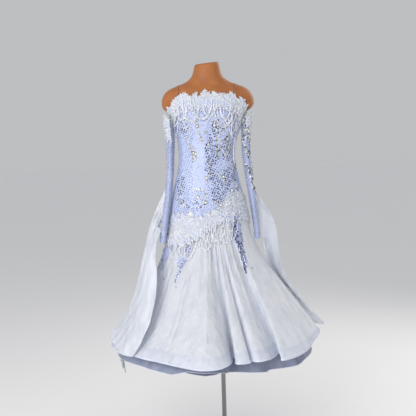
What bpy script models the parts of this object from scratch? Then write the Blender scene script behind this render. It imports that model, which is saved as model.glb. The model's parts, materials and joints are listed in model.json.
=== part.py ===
"""Ballroom dance dress on a dress form stand.

The dress is modelled the way it is made: a stretch bodice in three panels, a
circular outer skirt in two halves with a bound hem, two underskirts, two
detached sleeves with chiffon floats, guipure lace at the neckline, the sleeve
tops and the hip, strings of beads, stoned yoke points and two elastic straps.
It stands on a limbless form, a pole and a round base.

Metres, +Z up, the front faces -Y, and +X is the wearer's left, which is the
right of a front view. The origin is the centre of the base's underside.
Angles round the dress are polar angles about the torso's axis: 0 at the
front, 90 degrees at +X, 180 at the back.
"""

import math
from collections import namedtuple

import bmesh
import bpy
import numpy as np

# Stand
BASE_RADIUS = 0.19
BASE_EDGE = 0.010
POLE_RADIUS = 0.0095
POLE_SIDES = 20
BASE_SIDES = 40
SEAM = 0.0003

# Torso axis: it leans a little to +X between the waist and the shoulders
AXIS_X = -0.0443
AXIS_LEAN = 0.0110
LEAN_FROM = 1.255
LEAN_TO = 1.480

# Walls and the gaps between what lies on what
FORM_SHRINK = 0.0030
SHRINK_BELOW = 1.480
SHRINK_NONE_ABOVE = 1.515
BODICE_GAP = 0.0009
BODICE_WALL = 0.0016
LACE_GAP = 0.0017
LACE_WALL = 0.0018
LACE_ARM_GAP = 0.0024
LACE_ARM_ANGLE = 63.0
LACE_ARM_SPREAD = 14.0
SKIRT_WALL = 0.0014
CHIFFON_WALL = 0.0012
BEAD_GAP = 0.0012

FORM_SIDES = 24
RINGS_ABOVE = 1.08
BODICE_STEP = 9.0
LACE_STEP = 3.0
LACE_FRONT = 81.0
LACE_BACK_STEP = 9.0
BUST_ANGLE = 38.0
BUST_SPREAD = 20.0

TorsoRow = namedtuple("TorsoRow", "z half_width front back bust")
TORSO = [
    TorsoRow(0.740, 0.1600, 0.100, 0.112, 0.0),
    TorsoRow(0.850, 0.1680, 0.104, 0.120, 0.0),
    TorsoRow(0.930, 0.1720, 0.106, 0.124, 0.0),
    TorsoRow(0.990, 0.1710, 0.104, 0.122, 0.0),
    TorsoRow(1.050, 0.1610, 0.099, 0.112, 0.0),
    TorsoRow(1.110, 0.1480, 0.094, 0.100, 0.0),
    TorsoRow(1.170, 0.1310, 0.088, 0.089, 0.0),
    TorsoRow(1.215, 0.1195, 0.084, 0.082, 0.0),
    TorsoRow(1.255, 0.1155, 0.082, 0.079, 0.0),
    TorsoRow(1.300, 0.1185, 0.085, 0.080, 0.002),
    TorsoRow(1.345, 0.1270, 0.090, 0.083, 0.008),
    TorsoRow(1.385, 0.1360, 0.096, 0.087, 0.014),
    TorsoRow(1.415, 0.1440, 0.100, 0.091, 0.017),
    TorsoRow(1.433, 0.1505, 0.100, 0.093, 0.016),
    TorsoRow(1.447, 0.1680, 0.099, 0.095, 0.013),
    TorsoRow(1.460, 0.1890, 0.098, 0.096, 0.010),
    TorsoRow(1.474, 0.2010, 0.096, 0.098, 0.007),
    TorsoRow(1.490, 0.2020, 0.092, 0.098, 0.004),
    TorsoRow(1.512, 0.1970, 0.084, 0.095, 0.001),
    TorsoRow(1.532, 0.1860, 0.075, 0.089, 0.0),
    TorsoRow(1.548, 0.1680, 0.066, 0.083, 0.0),
    TorsoRow(1.560, 0.1380, 0.058, 0.076, 0.0),
    TorsoRow(1.572, 0.1020, 0.054, 0.069, 0.0),
    TorsoRow(1.587, 0.0770, 0.053, 0.062, 0.0),
    TorsoRow(1.604, 0.0640, 0.053, 0.058, 0.0),
    TorsoRow(1.628, 0.0570, 0.052, 0.055, 0.0),
    TorsoRow(1.648, 0.0545, 0.050, 0.052, 0.0),
    TorsoRow(1.656, 0.0490, 0.045, 0.047, 0.0),
]
NECK_TILT = 0.10

# Upper edge of the bodice cloth, mirrored left and right
EdgeRow = namedtuple("EdgeRow", "angle height")
BODICE_EDGE = [
    EdgeRow(0, 1.496),
    EdgeRow(25, 1.498),
    EdgeRow(45, 1.494),
    EdgeRow(58, 1.486),
    EdgeRow(68, 1.466),
    EdgeRow(76, 1.440),
    EdgeRow(84, 1.422),
    EdgeRow(90, 1.418),
    EdgeRow(110, 1.405),
    EdgeRow(140, 1.388),
    EdgeRow(180, 1.378),
]
BODICE_ROWS = [0.0, 0.03, 0.06, 0.10, 0.17, 0.28, 0.42, 0.60, 0.80, 1.0]

# Seam between bodice and skirt: lower at -X, higher at +X
SEAM_HEIGHT = 0.962
SEAM_SLANT = 0.033

# Tips and dips of the neckline lace over the front
LACE_TIPS = [
    EdgeRow(-84, 1.446),
    EdgeRow(-78, 1.446),
    EdgeRow(-72, 1.476),
    EdgeRow(-69, 1.468),
    EdgeRow(-63, 1.514),
    EdgeRow(-57, 1.524),
    EdgeRow(-51, 1.527),
    EdgeRow(-45, 1.514),
    EdgeRow(-39, 1.511),
    EdgeRow(-30, 1.529),
    EdgeRow(-27, 1.509),
    EdgeRow(-18, 1.513),
    EdgeRow(-12, 1.528),
    EdgeRow(-6, 1.541),
    EdgeRow(0, 1.526),
    EdgeRow(9, 1.519),
    EdgeRow(15, 1.530),
    EdgeRow(21, 1.527),
    EdgeRow(27, 1.516),
    EdgeRow(33, 1.525),
    EdgeRow(39, 1.520),
    EdgeRow(45, 1.511),
    EdgeRow(54, 1.529),
    EdgeRow(60, 1.488),
    EdgeRow(63, 1.508),
    EdgeRow(69, 1.480),
    EdgeRow(75, 1.446),
    EdgeRow(84, 1.446),
]
LACE_TIP_RISE = 0.020
LACE_DROP = 0.046
LACE_TOOTH = 0.006

HipRow = namedtuple("HipRow", "angle top bottom")
HIP_LACE = [
    HipRow(-180, 1.000, 0.935),
    HipRow(-120, 1.000, 0.925),
    HipRow(-90, 1.015, 0.900),
    HipRow(-75, 1.018, 0.892),
    HipRow(-60, 1.028, 0.888),
    HipRow(-45, 1.018, 0.886),
    HipRow(-30, 1.010, 0.902),
    HipRow(-15, 1.015, 0.930),
    HipRow(0, 1.030, 0.950),
    HipRow(12, 1.028, 0.960),
    HipRow(24, 1.060, 0.978),
    HipRow(36, 1.090, 0.985),
    HipRow(50, 1.110, 0.990),
    HipRow(65, 1.112, 0.990),
    HipRow(80, 1.098, 0.980),
    HipRow(90, 1.080, 0.972),
    HipRow(120, 1.040, 0.960),
    HipRow(150, 1.010, 0.945),
    HipRow(180, 1.000, 0.935),
]
HIP_COLUMNS = 80
HIP_TOOTH = 0.008
HIP_LACE_GAP = 0.0014
HIP_LACE_WALL = 0.0014

# Hem of the outer skirt, along the cloth: where the angle runs back, the
# cloth folds under itself
HemRow = namedtuple("HemRow", "angle radius height")
OUTER_HEM = [
    HemRow(-88.0, 0.440, 0.450),
    HemRow(-73.0, 0.412, 0.448),
    HemRow(-58.0, 0.378, 0.448),
    HemRow(-42.0, 0.372, 0.448),
    HemRow(-28.0, 0.384, 0.449),
    HemRow(-15.0, 0.422, 0.450),
    HemRow(-5.0, 0.455, 0.450),
    HemRow(2.0, 0.444, 0.450),
    HemRow(7.5, 0.400, 0.449),
    HemRow(11.5, 0.350, 0.448),
    HemRow(14.6, 0.300, 0.447),
    HemRow(16.9, 0.264, 0.446),
    HemRow(19.6, 0.264, 0.446),
    HemRow(19.0, 0.292, 0.446),
    HemRow(16.6, 0.330, 0.447),
    HemRow(14.6, 0.362, 0.449),
    HemRow(14.6, 0.381, 0.450),
    HemRow(17.5, 0.391, 0.450),
    HemRow(21.3, 0.388, 0.450),
    HemRow(23.3, 0.371, 0.449),
    HemRow(23.6, 0.340, 0.448),
    HemRow(24.8, 0.318, 0.447),
    HemRow(26.2, 0.340, 0.448),
    HemRow(26.2, 0.371, 0.449),
    HemRow(27.8, 0.391, 0.450),
    HemRow(31.5, 0.392, 0.450),
    HemRow(37.5, 0.380, 0.450),
    HemRow(44.0, 0.361, 0.449),
    HemRow(49.5, 0.342, 0.448),
    HemRow(52.6, 0.332, 0.447),
    HemRow(52.8, 0.350, 0.447),
    HemRow(49.0, 0.385, 0.448),
    HemRow(43.5, 0.415, 0.449),
    HemRow(39.6, 0.430, 0.450),
    HemRow(41.5, 0.440, 0.450),
    HemRow(50.0, 0.441, 0.450),
    HemRow(62.0, 0.438, 0.452),
    HemRow(76.0, 0.434, 0.458),
    HemRow(88.0, 0.458, 0.466),
    HemRow(101.0, 0.488, 0.472),
    HemRow(112.0, 0.470, 0.466),
    HemRow(121.0, 0.420, 0.460),
    HemRow(128.0, 0.365, 0.454),
    HemRow(134.0, 0.385, 0.452),
    HemRow(142.0, 0.440, 0.454),
    HemRow(153.0, 0.462, 0.456),
    HemRow(163.0, 0.430, 0.454),
    HemRow(170.0, 0.370, 0.451),
    HemRow(176.0, 0.362, 0.450),
    HemRow(183.0, 0.405, 0.451),
    HemRow(193.0, 0.452, 0.453),
    HemRow(204.0, 0.456, 0.454),
    HemRow(213.0, 0.410, 0.452),
    HemRow(219.0, 0.368, 0.451),
    HemRow(226.0, 0.392, 0.452),
    HemRow(236.0, 0.442, 0.454),
    HemRow(248.0, 0.462, 0.455),
    HemRow(260.0, 0.445, 0.453),
]
MIDDLE_HEM = [
    HemRow(-88.0, 0.412, 0.412),
    HemRow(-73.0, 0.386, 0.408),
    HemRow(-58.0, 0.350, 0.404),
    HemRow(-42.0, 0.344, 0.402),
    HemRow(-28.0, 0.356, 0.402),
    HemRow(-15.0, 0.390, 0.430),
    HemRow(-5.0, 0.420, 0.434),
    HemRow(2.0, 0.404, 0.430),
    HemRow(7.5, 0.356, 0.414),
    HemRow(11.0, 0.300, 0.397),
    HemRow(15.0, 0.240, 0.382),
    HemRow(20.0, 0.228, 0.377),
    HemRow(25.0, 0.262, 0.382),
    HemRow(30.0, 0.328, 0.392),
    HemRow(36.0, 0.342, 0.390),
    HemRow(44.0, 0.322, 0.380),
    HemRow(51.0, 0.298, 0.374),
    HemRow(57.0, 0.340, 0.378),
    HemRow(63.0, 0.396, 0.388),
    HemRow(76.0, 0.404, 0.390),
    HemRow(90.0, 0.430, 0.390),
    HemRow(102.0, 0.452, 0.402),
    HemRow(112.0, 0.430, 0.422),
    HemRow(120.0, 0.380, 0.430),
    HemRow(128.0, 0.330, 0.426),
    HemRow(136.0, 0.366, 0.426),
    HemRow(148.0, 0.422, 0.428),
    HemRow(158.0, 0.414, 0.428),
    HemRow(166.0, 0.352, 0.426),
    HemRow(174.0, 0.326, 0.425),
    HemRow(184.0, 0.372, 0.426),
    HemRow(196.0, 0.420, 0.428),
    HemRow(208.0, 0.396, 0.428),
    HemRow(219.0, 0.330, 0.426),
    HemRow(230.0, 0.380, 0.428),
    HemRow(242.0, 0.424, 0.430),
    HemRow(256.0, 0.418, 0.430),
]
INNER_HEM = [
    HemRow(-88.0, 0.372, 0.418),
    HemRow(-64.0, 0.322, 0.414),
    HemRow(-42.0, 0.308, 0.410),
    HemRow(-20.0, 0.330, 0.408),
    HemRow(-5.0, 0.372, 0.408),
    HemRow(5.0, 0.330, 0.408),
    HemRow(12.0, 0.232, 0.408),
    HemRow(20.0, 0.196, 0.408),
    HemRow(28.0, 0.250, 0.408),
    HemRow(38.0, 0.294, 0.408),
    HemRow(50.0, 0.262, 0.408),
    HemRow(62.0, 0.340, 0.410),
    HemRow(78.0, 0.362, 0.412),
    HemRow(98.0, 0.402, 0.418),
    HemRow(116.0, 0.350, 0.418),
    HemRow(130.0, 0.296, 0.416),
    HemRow(150.0, 0.372, 0.416),
    HemRow(170.0, 0.296, 0.414),
    HemRow(192.0, 0.366, 0.416),
    HemRow(218.0, 0.296, 0.414),
    HemRow(242.0, 0.376, 0.418),
]

SkirtLayer = namedtuple("SkirtLayer", "hem steps rows start envelope envelope_side gap")
OUTER_ROWS = [0.0, 0.09, 0.22, 0.38, 0.57, 0.79, 1.0]
MIDDLE_ROWS = [0.0, 0.20, 0.55, 1.0]
INNER_ROWS = [0.0, 0.20, 0.55, 1.0]
OUTER = SkirtLayer(OUTER_HEM, 2, OUTER_ROWS, 0.0, 0.435, 0.030, BODICE_GAP)
MIDDLE = SkirtLayer(MIDDLE_HEM, 2, MIDDLE_ROWS, 0.070, 0.405, 0.025, -0.0018)
INNER = SkirtLayer(INNER_HEM, 2, INNER_ROWS, 0.130, 0.350, 0.020, -0.0008)
FOLD_POWER = 1.5
FOLD_FLOOR = 0.30
SIDE_SEAM = 90.0

BINDING_HEIGHT = 0.007
BINDING_WALL = 0.0012

SleeveRow = namedtuple("SleeveRow", "z out y half_width half_depth")
SLEEVE_LEFT = [
    SleeveRow(1.400, 0.1650, -0.002, 0.0190, 0.044),
    SleeveRow(1.340, 0.1560, -0.004, 0.0185, 0.041),
    SleeveRow(1.270, 0.1560, -0.008, 0.0170, 0.038),
    SleeveRow(1.200, 0.1575, -0.014, 0.0160, 0.035),
    SleeveRow(1.130, 0.1640, -0.022, 0.0160, 0.032),
    SleeveRow(1.060, 0.1740, -0.032, 0.0155, 0.030),
    SleeveRow(0.990, 0.1870, -0.044, 0.0150, 0.027),
    SleeveRow(0.930, 0.1960, -0.052, 0.0140, 0.022),
]
SLEEVE_RIGHT = [
    SleeveRow(1.400, 0.1668, 0.000, 0.0208, 0.046),
    SleeveRow(1.340, 0.1640, 0.000, 0.0190, 0.043),
    SleeveRow(1.270, 0.1670, 0.000, 0.0190, 0.040),
    SleeveRow(1.200, 0.1765, 0.002, 0.0190, 0.037),
    SleeveRow(1.130, 0.1860, 0.004, 0.0180, 0.034),
    SleeveRow(1.060, 0.1940, 0.006, 0.0160, 0.030),
    SleeveRow(0.990, 0.2030, 0.008, 0.0140, 0.025),
    SleeveRow(0.930, 0.2090, 0.010, 0.0125, 0.019),
]
SLEEVE_SIDES = 14
SLEEVE_ROWS = [0.0, 0.10, 0.26, 0.44, 0.62, 0.80, 1.0]
SLEEVE_RISE = 0.034
CUFF_POINT = 0.030
SLEEVE_LACE_ROWS = 3
SLEEVE_LACE_GAP = 0.0030
SLEEVE_LACE_TOP = -0.002
SLEEVE_LACE_TOOTH = 0.014
SLEEVE_LACE_FOOT = 0.15

# Chiffon floats: u runs along the sleeve from its elbow to the cuff, and
# each row says where that thread of the cloth starts and ends
FloatRow = namedtuple("FloatRow", "u from_turn from_z bend end_angle end_z end_out")
FLOAT_LEFT = [
    FloatRow(0.00, 51.4, 1.150, -112.0, -122.0, 0.250, 0.476),
    FloatRow(0.10, 51.4, 1.125, -110.0, -117.5, 0.330, 0.484),
    FloatRow(0.20, 51.4, 1.100, -106.0, -113.0, 0.430, 0.482),
    FloatRow(0.35, 51.4, 1.065, -99.0, -104.0, 0.475, 0.436),
    FloatRow(0.55, 40.0, 1.020, -86.0, -91.0, 0.487, 0.404),
    FloatRow(0.75, 10.0, 0.975, -66.0, -75.0, 0.470, 0.398),
    FloatRow(1.00, -51.4, 0.925, -36.0, -57.0, 0.452, 0.384),
]
FLOAT_RIGHT = [
    FloatRow(0.00, 51.4, 1.160, 116.0, 128.0, 0.470, 0.430),
    FloatRow(0.20, 51.4, 1.120, 108.0, 119.0, 0.478, 0.468),
    FloatRow(0.40, 51.4, 1.080, 102.0, 110.0, 0.480, 0.510),
    FloatRow(0.55, 51.4, 1.045, 99.0, 104.0, 0.486, 0.520),
    FloatRow(0.75, 60.0, 0.990, 100.0, 101.0, 0.520, 0.484),
    FloatRow(1.00, 90.0, 0.930, 116.0, 104.0, 0.560, 0.400),
]
# How far out the floats reach at each height
OutRow = namedtuple("OutRow", "z left right")
FLOAT_OUTLINE = [
    OutRow(0.480, 0.400, 0.500),
    OutRow(0.536, 0.366, 0.467),
    OutRow(0.590, 0.338, 0.404),
    OutRow(0.645, 0.316, 0.362),
    OutRow(0.700, 0.300, 0.328),
    OutRow(0.750, 0.287, 0.306),
    OutRow(0.807, 0.274, 0.296),
    OutRow(0.861, 0.259, 0.290),
    OutRow(0.915, 0.243, 0.286),
    OutRow(0.969, 0.231, 0.277),
    OutRow(1.023, 0.221, 0.261),
    OutRow(1.077, 0.206, 0.240),
    OutRow(1.150, 0.185, 0.212),
]
FLOAT_COLUMNS = 19
FLOAT_ROWS = 8
FLOAT_FOLDS = 4.5
FLOAT_FOLD_DEPTH = 0.007
FLOAT_CLEAR = 0.005
FLOAT_LIFT = 0.0008
FLOAT_RISE = 0.14
FLOAT_DEPTH_EASE = 1.02
FLOAT_LEAST_SINE = 0.55
FLOAT_PAST_HEM = 0.446
FLOAT_KNEE = 0.478

# Strings of beads: first and last angle of each loop, its drop and its layer
LoopRow = namedtuple("LoopRow", "first last drop layer")
BUST_LOOPS = [
    LoopRow(-63, -42, 0.052, 0),
    LoopRow(-48, -21, 0.066, 1),
    LoopRow(-33, 6, 0.058, 0),
    LoopRow(-12, 18, 0.050, 1),
    LoopRow(12, 51, 0.086, 0),
    LoopRow(24, 42, 0.060, 1),
    LoopRow(45, 63, 0.112, 1),
    LoopRow(57, 69, 0.078, 0),
    LoopRow(66, 72, 0.205, 1),
]
HIP_LOOPS = [
    LoopRow(-54, -36, 0.058, 0),
    LoopRow(-45, -24, 0.078, 1),
    LoopRow(-18, 6, 0.088, 0),
    LoopRow(-9, 0, 0.060, 1),
    LoopRow(9, 30, 0.086, 1),
    LoopRow(36, 48, 0.060, 0),
]
STRIP_STEP = 3.0
STRIP_HEIGHT = 0.005
STRIP_WALL = 0.0022
BUST_STRIP_BELOW_EDGE = 0.026
HIP_STRIP_ABOVE_FOOT = 0.012
BEAD_RADIUS = 0.0024
LOOP_LAYER = 0.0062
LOOP_POINTS = 9

# Stoned points that run down from the hip over the skirt
PointRow = namedtuple("PointRow", "name first last tip tip_z")
YOKE_POINTS = [
    PointRow("yoke_point_left_outer", -84, -66, -75, 0.800),
    PointRow("yoke_point_left_inner", -58, -30, -50, 0.745),
    PointRow("yoke_point_right", 44, 62, 53, 0.795),
]
POINT_GAP = 0.0010
POINT_ROWS = 4

STRAP_WIDTH = 0.005
STRAP_WALL = 0.0010
STRAP_GAP = 0.0009
STRAP_POINTS = 34
STRAP_ABOVE_LACE = 0.0010
STRAP_OUT_LEFT = -0.124
STRAP_OUT_RIGHT = 0.117


def smooth_table(at, keys, values):
    """Values between the keys of a table, on a smooth curve with no overshoot."""
    keys = np.asarray(keys, float)
    values = np.asarray(values, float)
    step = np.diff(keys)
    slope = np.diff(values) / step
    tangent = np.zeros(len(keys))
    inner = slope[:-1] * slope[1:] > 0
    tangent[1:-1] = np.where(inner, 2 * slope[:-1] * slope[1:] / np.where(inner, slope[:-1] + slope[1:], 1), 0)
    tangent[0] = slope[0]
    tangent[-1] = slope[-1]
    at = np.clip(np.asarray(at, float), keys[0], keys[-1])
    i = np.clip(np.searchsorted(keys, at, side="right") - 1, 0, len(step) - 1)
    s = (at - keys[i]) / step[i]
    return (
        values[i] * (1 + 2 * s) * (1 - s) ** 2
        + tangent[i] * step[i] * s * (1 - s) ** 2
        + values[i + 1] * s * s * (3 - 2 * s)
        + tangent[i + 1] * step[i] * s * s * (s - 1)
    )


def column(rows, name):
    return [getattr(row, name) for row in rows]


def smooth_max(a, b, width):
    return 0.5 * (a + b + np.sqrt((a - b) ** 2 + width * width))


def smooth_step(t):
    t = np.clip(t, 0, 1)
    return t * t * (3 - 2 * t)


def axis_x(z):
    """Where the torso's axis stands at a height."""
    return AXIS_X + AXIS_LEAN * np.clip((z - LEAN_FROM) / (LEAN_TO - LEAN_FROM), 0, 1)


def torso_size(z):
    keys = column(TORSO, "z")
    return [smooth_table(z, keys, column(TORSO, name)) for name in ("half_width", "front", "back", "bust")]


def torso_radius(angle, z):
    """Distance from the axis to the form, at an angle in degrees and a height."""
    half_width, front, back, bust = torso_size(z)
    a = np.radians(angle)
    depth = np.where(np.cos(a) > 0, front, back)
    radius = 1 / np.sqrt((np.sin(a) / half_width) ** 2 + (np.cos(a) / depth) ** 2)
    turn = (np.asarray(angle, float) + 180) % 360 - 180
    cups = np.exp(-(((turn - BUST_ANGLE) / BUST_SPREAD) ** 2))
    cups = cups + np.exp(-(((turn + BUST_ANGLE) / BUST_SPREAD) ** 2))
    return radius + bust * cups


def bodice_radius(angle, z):
    """The torso's radius as the bodice's flat facets have it, which what lies on it follows."""
    low = math.floor(angle / BODICE_STEP) * BODICE_STEP
    share = (angle - low) / BODICE_STEP
    edges = (low, low + BODICE_STEP)
    tops = [float(bodice_top(edge)) for edge in edges]
    feet = [float(seam_height(edge)) for edge in edges]
    top = tops[0] + (tops[1] - tops[0]) * share
    foot = feet[0] + (feet[1] - feet[0]) * share
    down = (top - z) / (top - foot)
    ends = []
    for edge, edge_top, edge_foot in zip(edges, tops, feet):
        if down < 0:
            radius = float(torso_radius(edge, edge_top + (edge_foot - edge_top) * down))
        else:
            heights = edge_top + (edge_foot - edge_top) * np.array(BODICE_ROWS)
            radius = float(np.interp(down, BODICE_ROWS, torso_radius(edge, heights)))
        ends.append(radius)
    a, b = math.radians(BODICE_STEP * share), math.radians(BODICE_STEP * (1 - share))
    return ends[0] * ends[1] * math.sin(a + b) / (ends[0] * math.sin(a) + ends[1] * math.sin(b))


def place(angle, radius, z):
    """A point, or an array of them, from an angle, a radius and a height."""
    a = np.radians(angle)
    x = axis_x(z) + radius * np.sin(a)
    return np.stack(np.broadcast_arrays(x, -radius * np.cos(a), z), axis=-1)


def seam_height(angle):
    return SEAM_HEIGHT + SEAM_SLANT * np.sin(np.radians(angle))


def bodice_top(angle):
    turn = np.abs((np.asarray(angle, float) + 180) % 360 - 180)
    return smooth_table(turn, column(BODICE_EDGE, "angle"), column(BODICE_EDGE, "height"))


def normals(grid, closed):
    """Outward unit normals of a grid whose columns go round and rows go down."""
    if closed:
        after = np.roll(grid, -1, axis=0) - grid
    else:
        after = np.diff(grid, axis=0, append=2 * grid[-1:] - grid[-2:-1])
    after = after / np.linalg.norm(after, axis=2, keepdims=True)
    before = np.roll(after, 1, axis=0)
    if not closed:
        before[0] = after[0]
    along = after + before
    down = np.gradient(grid, axis=1)
    n = np.cross(down, along)
    return n / np.linalg.norm(n, axis=2, keepdims=True)


def material(name, color, roughness, metallic=0.0):
    m = bpy.data.materials.new(name)
    m.use_nodes = True
    shader = m.node_tree.nodes["Principled BSDF"]
    shader.inputs["Base Color"].default_value = (*color, 1)
    shader.inputs["Roughness"].default_value = roughness
    shader.inputs["Metallic"].default_value = metallic
    return m


def add_object(name, vertices, faces, look):
    """One named object whose faces are turned to point outwards."""
    mesh = bpy.data.meshes.new(name)
    mesh.from_pydata([tuple(map(float, v)) for v in vertices], [], faces)
    bm = bmesh.new()
    bm.from_mesh(mesh)
    bmesh.ops.recalc_face_normals(bm, faces=bm.faces)
    if bm.calc_volume(signed=True) < 0:
        bmesh.ops.reverse_faces(bm, faces=bm.faces)
    bmesh.ops.triangulate(bm, faces=bm.faces)
    bm.to_mesh(mesh)
    bm.free()
    mesh.shade_smooth()
    mesh.set_sharp_from_angle(angle=math.radians(40))
    mesh.materials.append(look)
    obj = bpy.data.objects.new(name, mesh)
    bpy.context.collection.objects.link(obj)
    return obj


def wall(name, inner, outer, closed, look):
    """A cloth wall between two grids of columns and rows, as one closed body."""
    columns, rows = inner.shape[:2]
    count = columns * rows
    vertices = np.concatenate([inner.reshape(-1, 3), outer.reshape(-1, 3)])
    faces = []
    for c in range(columns if closed else columns - 1):
        n = (c + 1) % columns
        for r in range(rows - 1):
            a, b, d, e = c * rows + r, c * rows + r + 1, n * rows + r + 1, n * rows + r
            faces.append((count + a, count + b, count + d, count + e))
            faces.append((e, d, b, a))
        top, next_top = c * rows, n * rows
        faces.append((top, count + top, count + next_top, next_top))
        foot, next_foot = top + rows - 1, next_top + rows - 1
        faces.append((next_foot, count + next_foot, count + foot, foot))
    if not closed:
        last = (columns - 1) * rows
        for r in range(rows - 1):
            faces.append((r, r + 1, count + r + 1, count + r))
            faces.append((last + r + 1, last + r, count + last + r, count + last + r + 1))
    return add_object(name, vertices, faces, look)


def around(grid):
    """Directions straight out from the torso's axis, for cloth that lies on the bodice."""
    out = grid.copy()
    out[..., 0] -= axis_x(grid[..., 2])
    out[..., 2] = 0
    return out / np.linalg.norm(out, axis=-1, keepdims=True)


def level_wall(name, grid, gap, thickness, closed, look):
    """A wall whose gap and thickness are measured straight out from the axis."""
    out = around(grid)
    return wall(name, grid + out * gap, grid + out * (gap + thickness), closed, look)


def cloth(name, grid, gap, thickness, closed, look):
    """A wall that lies off a grid by a gap, along the grid's normals."""
    n = normals(grid, closed)
    return wall(name, grid + n * gap, grid + n * (gap + thickness), closed, look)


def lathe(name, profile, sides, look):
    """A turned solid about Z from a profile of (radius, height), bottom to top."""
    vertices = []
    for radius, z in profile:
        for k in range(sides):
            a = math.tau * k / sides
            vertices.append((radius * math.cos(a), radius * math.sin(a), z))
    faces = [tuple(range(sides))[::-1]]
    for r in range(len(profile) - 1):
        for k in range(sides):
            n = (k + 1) % sides
            faces.append((r * sides + k, r * sides + n, (r + 1) * sides + n, (r + 1) * sides + k))
    last = (len(profile) - 1) * sides
    faces.append(tuple(range(last, last + sides)))
    return add_object(name, vertices, faces, look)


def form_point(turn, z):
    """A point on the form at an ellipse parameter, shrunk where the dress hides it."""
    half_width, front, back, _ = torso_size(z)
    depth = np.where(np.cos(turn) > 0, front, back)
    angle = np.degrees(np.arctan2(half_width * np.sin(turn), depth * np.cos(turn)))
    shrink = FORM_SHRINK * (1 - smooth_step((z - SHRINK_BELOW) / (SHRINK_NONE_ABOVE - SHRINK_BELOW)))
    return place(angle, torso_radius(angle, z) - shrink, z)


def make_form(look):
    """The limbless form: turned-in neck, shoulder caps and a flat underside."""
    vertices = []
    rings = [row for i, row in enumerate(TORSO) if row.z > RINGS_ABOVE or i % 2 == 0]
    for row in rings:
        for k in range(FORM_SIDES):
            point = form_point(np.array(math.tau * k / FORM_SIDES), np.array(row.z))
            lift = NECK_TILT * (point[0] - float(axis_x(row.z))) * float(smooth_step((row.z - 1.61) / 0.04))
            vertices.append((point[0], point[1], point[2] + lift))
    faces = [tuple(range(FORM_SIDES))[::-1]]
    for r in range(len(rings) - 1):
        for k in range(FORM_SIDES):
            n = (k + 1) % FORM_SIDES
            low, high = r * FORM_SIDES, (r + 1) * FORM_SIDES
            faces.append((low + k, low + n, high + n, high + k))
    last = (len(rings) - 1) * FORM_SIDES
    faces.append(tuple(range(last, last + FORM_SIDES)))
    add_object("dress_form", vertices, faces, look)


def make_stand(metal, painted):
    """A plain round base with a socket, and the pole that carries the form."""
    top = BASE_EDGE + 0.006
    lathe(
        "form_base",
        [
            (BASE_RADIUS - 0.002, 0.0),
            (BASE_RADIUS, 0.002),
            (BASE_RADIUS, BASE_EDGE - 0.002),
            (BASE_RADIUS - 0.003, BASE_EDGE),
            (0.030, top),
            (0.022, top + 0.006),
            (0.016, top + 0.030),
            (0.014, top + 0.032),
        ],
        BASE_SIDES,
        painted,
    )
    lathe(
        "form_pole",
        [(POLE_RADIUS, top + 0.032 + SEAM), (POLE_RADIUS, TORSO[0].z - SEAM)],
        POLE_SIDES,
        metal,
    )


def bodice_grid(angles):
    angles = np.asarray(angles, float)[:, None]
    share = np.array(BODICE_ROWS)[None, :]
    top = bodice_top(angles)
    z = top + (seam_height(angles) + SEAM / 2 - top) * share
    return place(angles, torso_radius(angles, z), z)


def make_bodice(look):
    """Front panel and two back panels that meet at the centre-back zip seam."""
    trim = math.degrees(SEAM / 2 / 0.12)
    panels = {
        "bodice_front": np.arange(-90, 91, BODICE_STEP),
        "bodice_back_right": np.arange(90, 181, BODICE_STEP),
        "bodice_back_left": np.arange(180, 271, BODICE_STEP),
    }
    for name, angles in panels.items():
        angles = angles.astype(float)
        angles[0] += trim
        angles[-1] -= trim
        level_wall(name, bodice_grid(angles), BODICE_GAP, BODICE_WALL, False, look)


def make_neckline_lace(look):
    """Ragged petals that stand above the bodice edge, all round."""
    front = np.arange(-LACE_FRONT, LACE_FRONT + 1, LACE_STEP)
    back = np.arange(LACE_FRONT + LACE_BACK_STEP, 360 - LACE_FRONT, LACE_BACK_STEP) - 360
    angles = np.concatenate([back, front])
    turn = np.arange(len(angles))
    tooth = np.where(turn % 2 == 0, LACE_TOOTH, -LACE_TOOTH)
    tips = smooth_table(angles, column(LACE_TIPS, "angle"), column(LACE_TIPS, "height"))
    edge = bodice_top(angles)
    tip = np.where(np.abs(angles) <= LACE_FRONT, tips, edge + LACE_TIP_RISE + tooth)
    foot = edge - LACE_DROP + tooth
    grid = np.zeros((len(angles), 5, 3))
    for i, angle in enumerate(angles):
        drop = edge[i] - float(seam_height(angle))
        under = [edge[i] - drop * share for share in BODICE_ROWS[1:3]]
        for j, z in enumerate((tip[i], edge[i], *under, foot[i])):
            grid[i, j] = place(angle, bodice_radius(angle, z), z)
    clear = LACE_ARM_GAP * np.exp(-(((np.abs(angles) - LACE_ARM_ANGLE) / LACE_ARM_SPREAD) ** 2))
    gap = (BODICE_GAP + BODICE_WALL + LACE_GAP + clear)[:, None, None]
    level_wall("neckline_lace", grid, gap, LACE_WALL, True, look)


def hem_curve(layer, steps):
    """The hem as dense columns: angle, radius and height on a smooth closed curve."""
    rows = layer.hem
    count = len(rows)
    at = np.arange(count * steps) / steps
    keys = np.arange(-2, count + 3)
    turns = keys // count
    angle = np.array([rows[k % count].angle for k in keys]) + 360.0 * turns
    radius = [rows[k % count].radius for k in keys]
    height = [rows[k % count].height for k in keys]
    return smooth_table(at, keys, angle), smooth_table(at, keys, radius), smooth_table(at, keys, height)


def top_angles(angle, radius):
    """Angles at the top of the cloth: in order, where the hem folds back."""
    forward = np.maximum.accumulate(angle)
    backward = np.minimum.accumulate(angle[::-1])[::-1]
    unfolded = 0.5 * (forward + backward)
    a = np.radians(angle)
    x, y = radius * np.sin(a), radius * np.cos(a)
    length = np.hypot(np.diff(x, append=x[0]), np.diff(y, append=y[0]))
    even = angle[0] + 360 * np.concatenate([[0], np.cumsum(length)[:-1]]) / length.sum()
    drift = smooth_step(np.abs(even - unfolded) / 40)
    return unfolded * (0.85 - 0.25 * drift) + even * (0.15 + 0.25 * drift)


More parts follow.
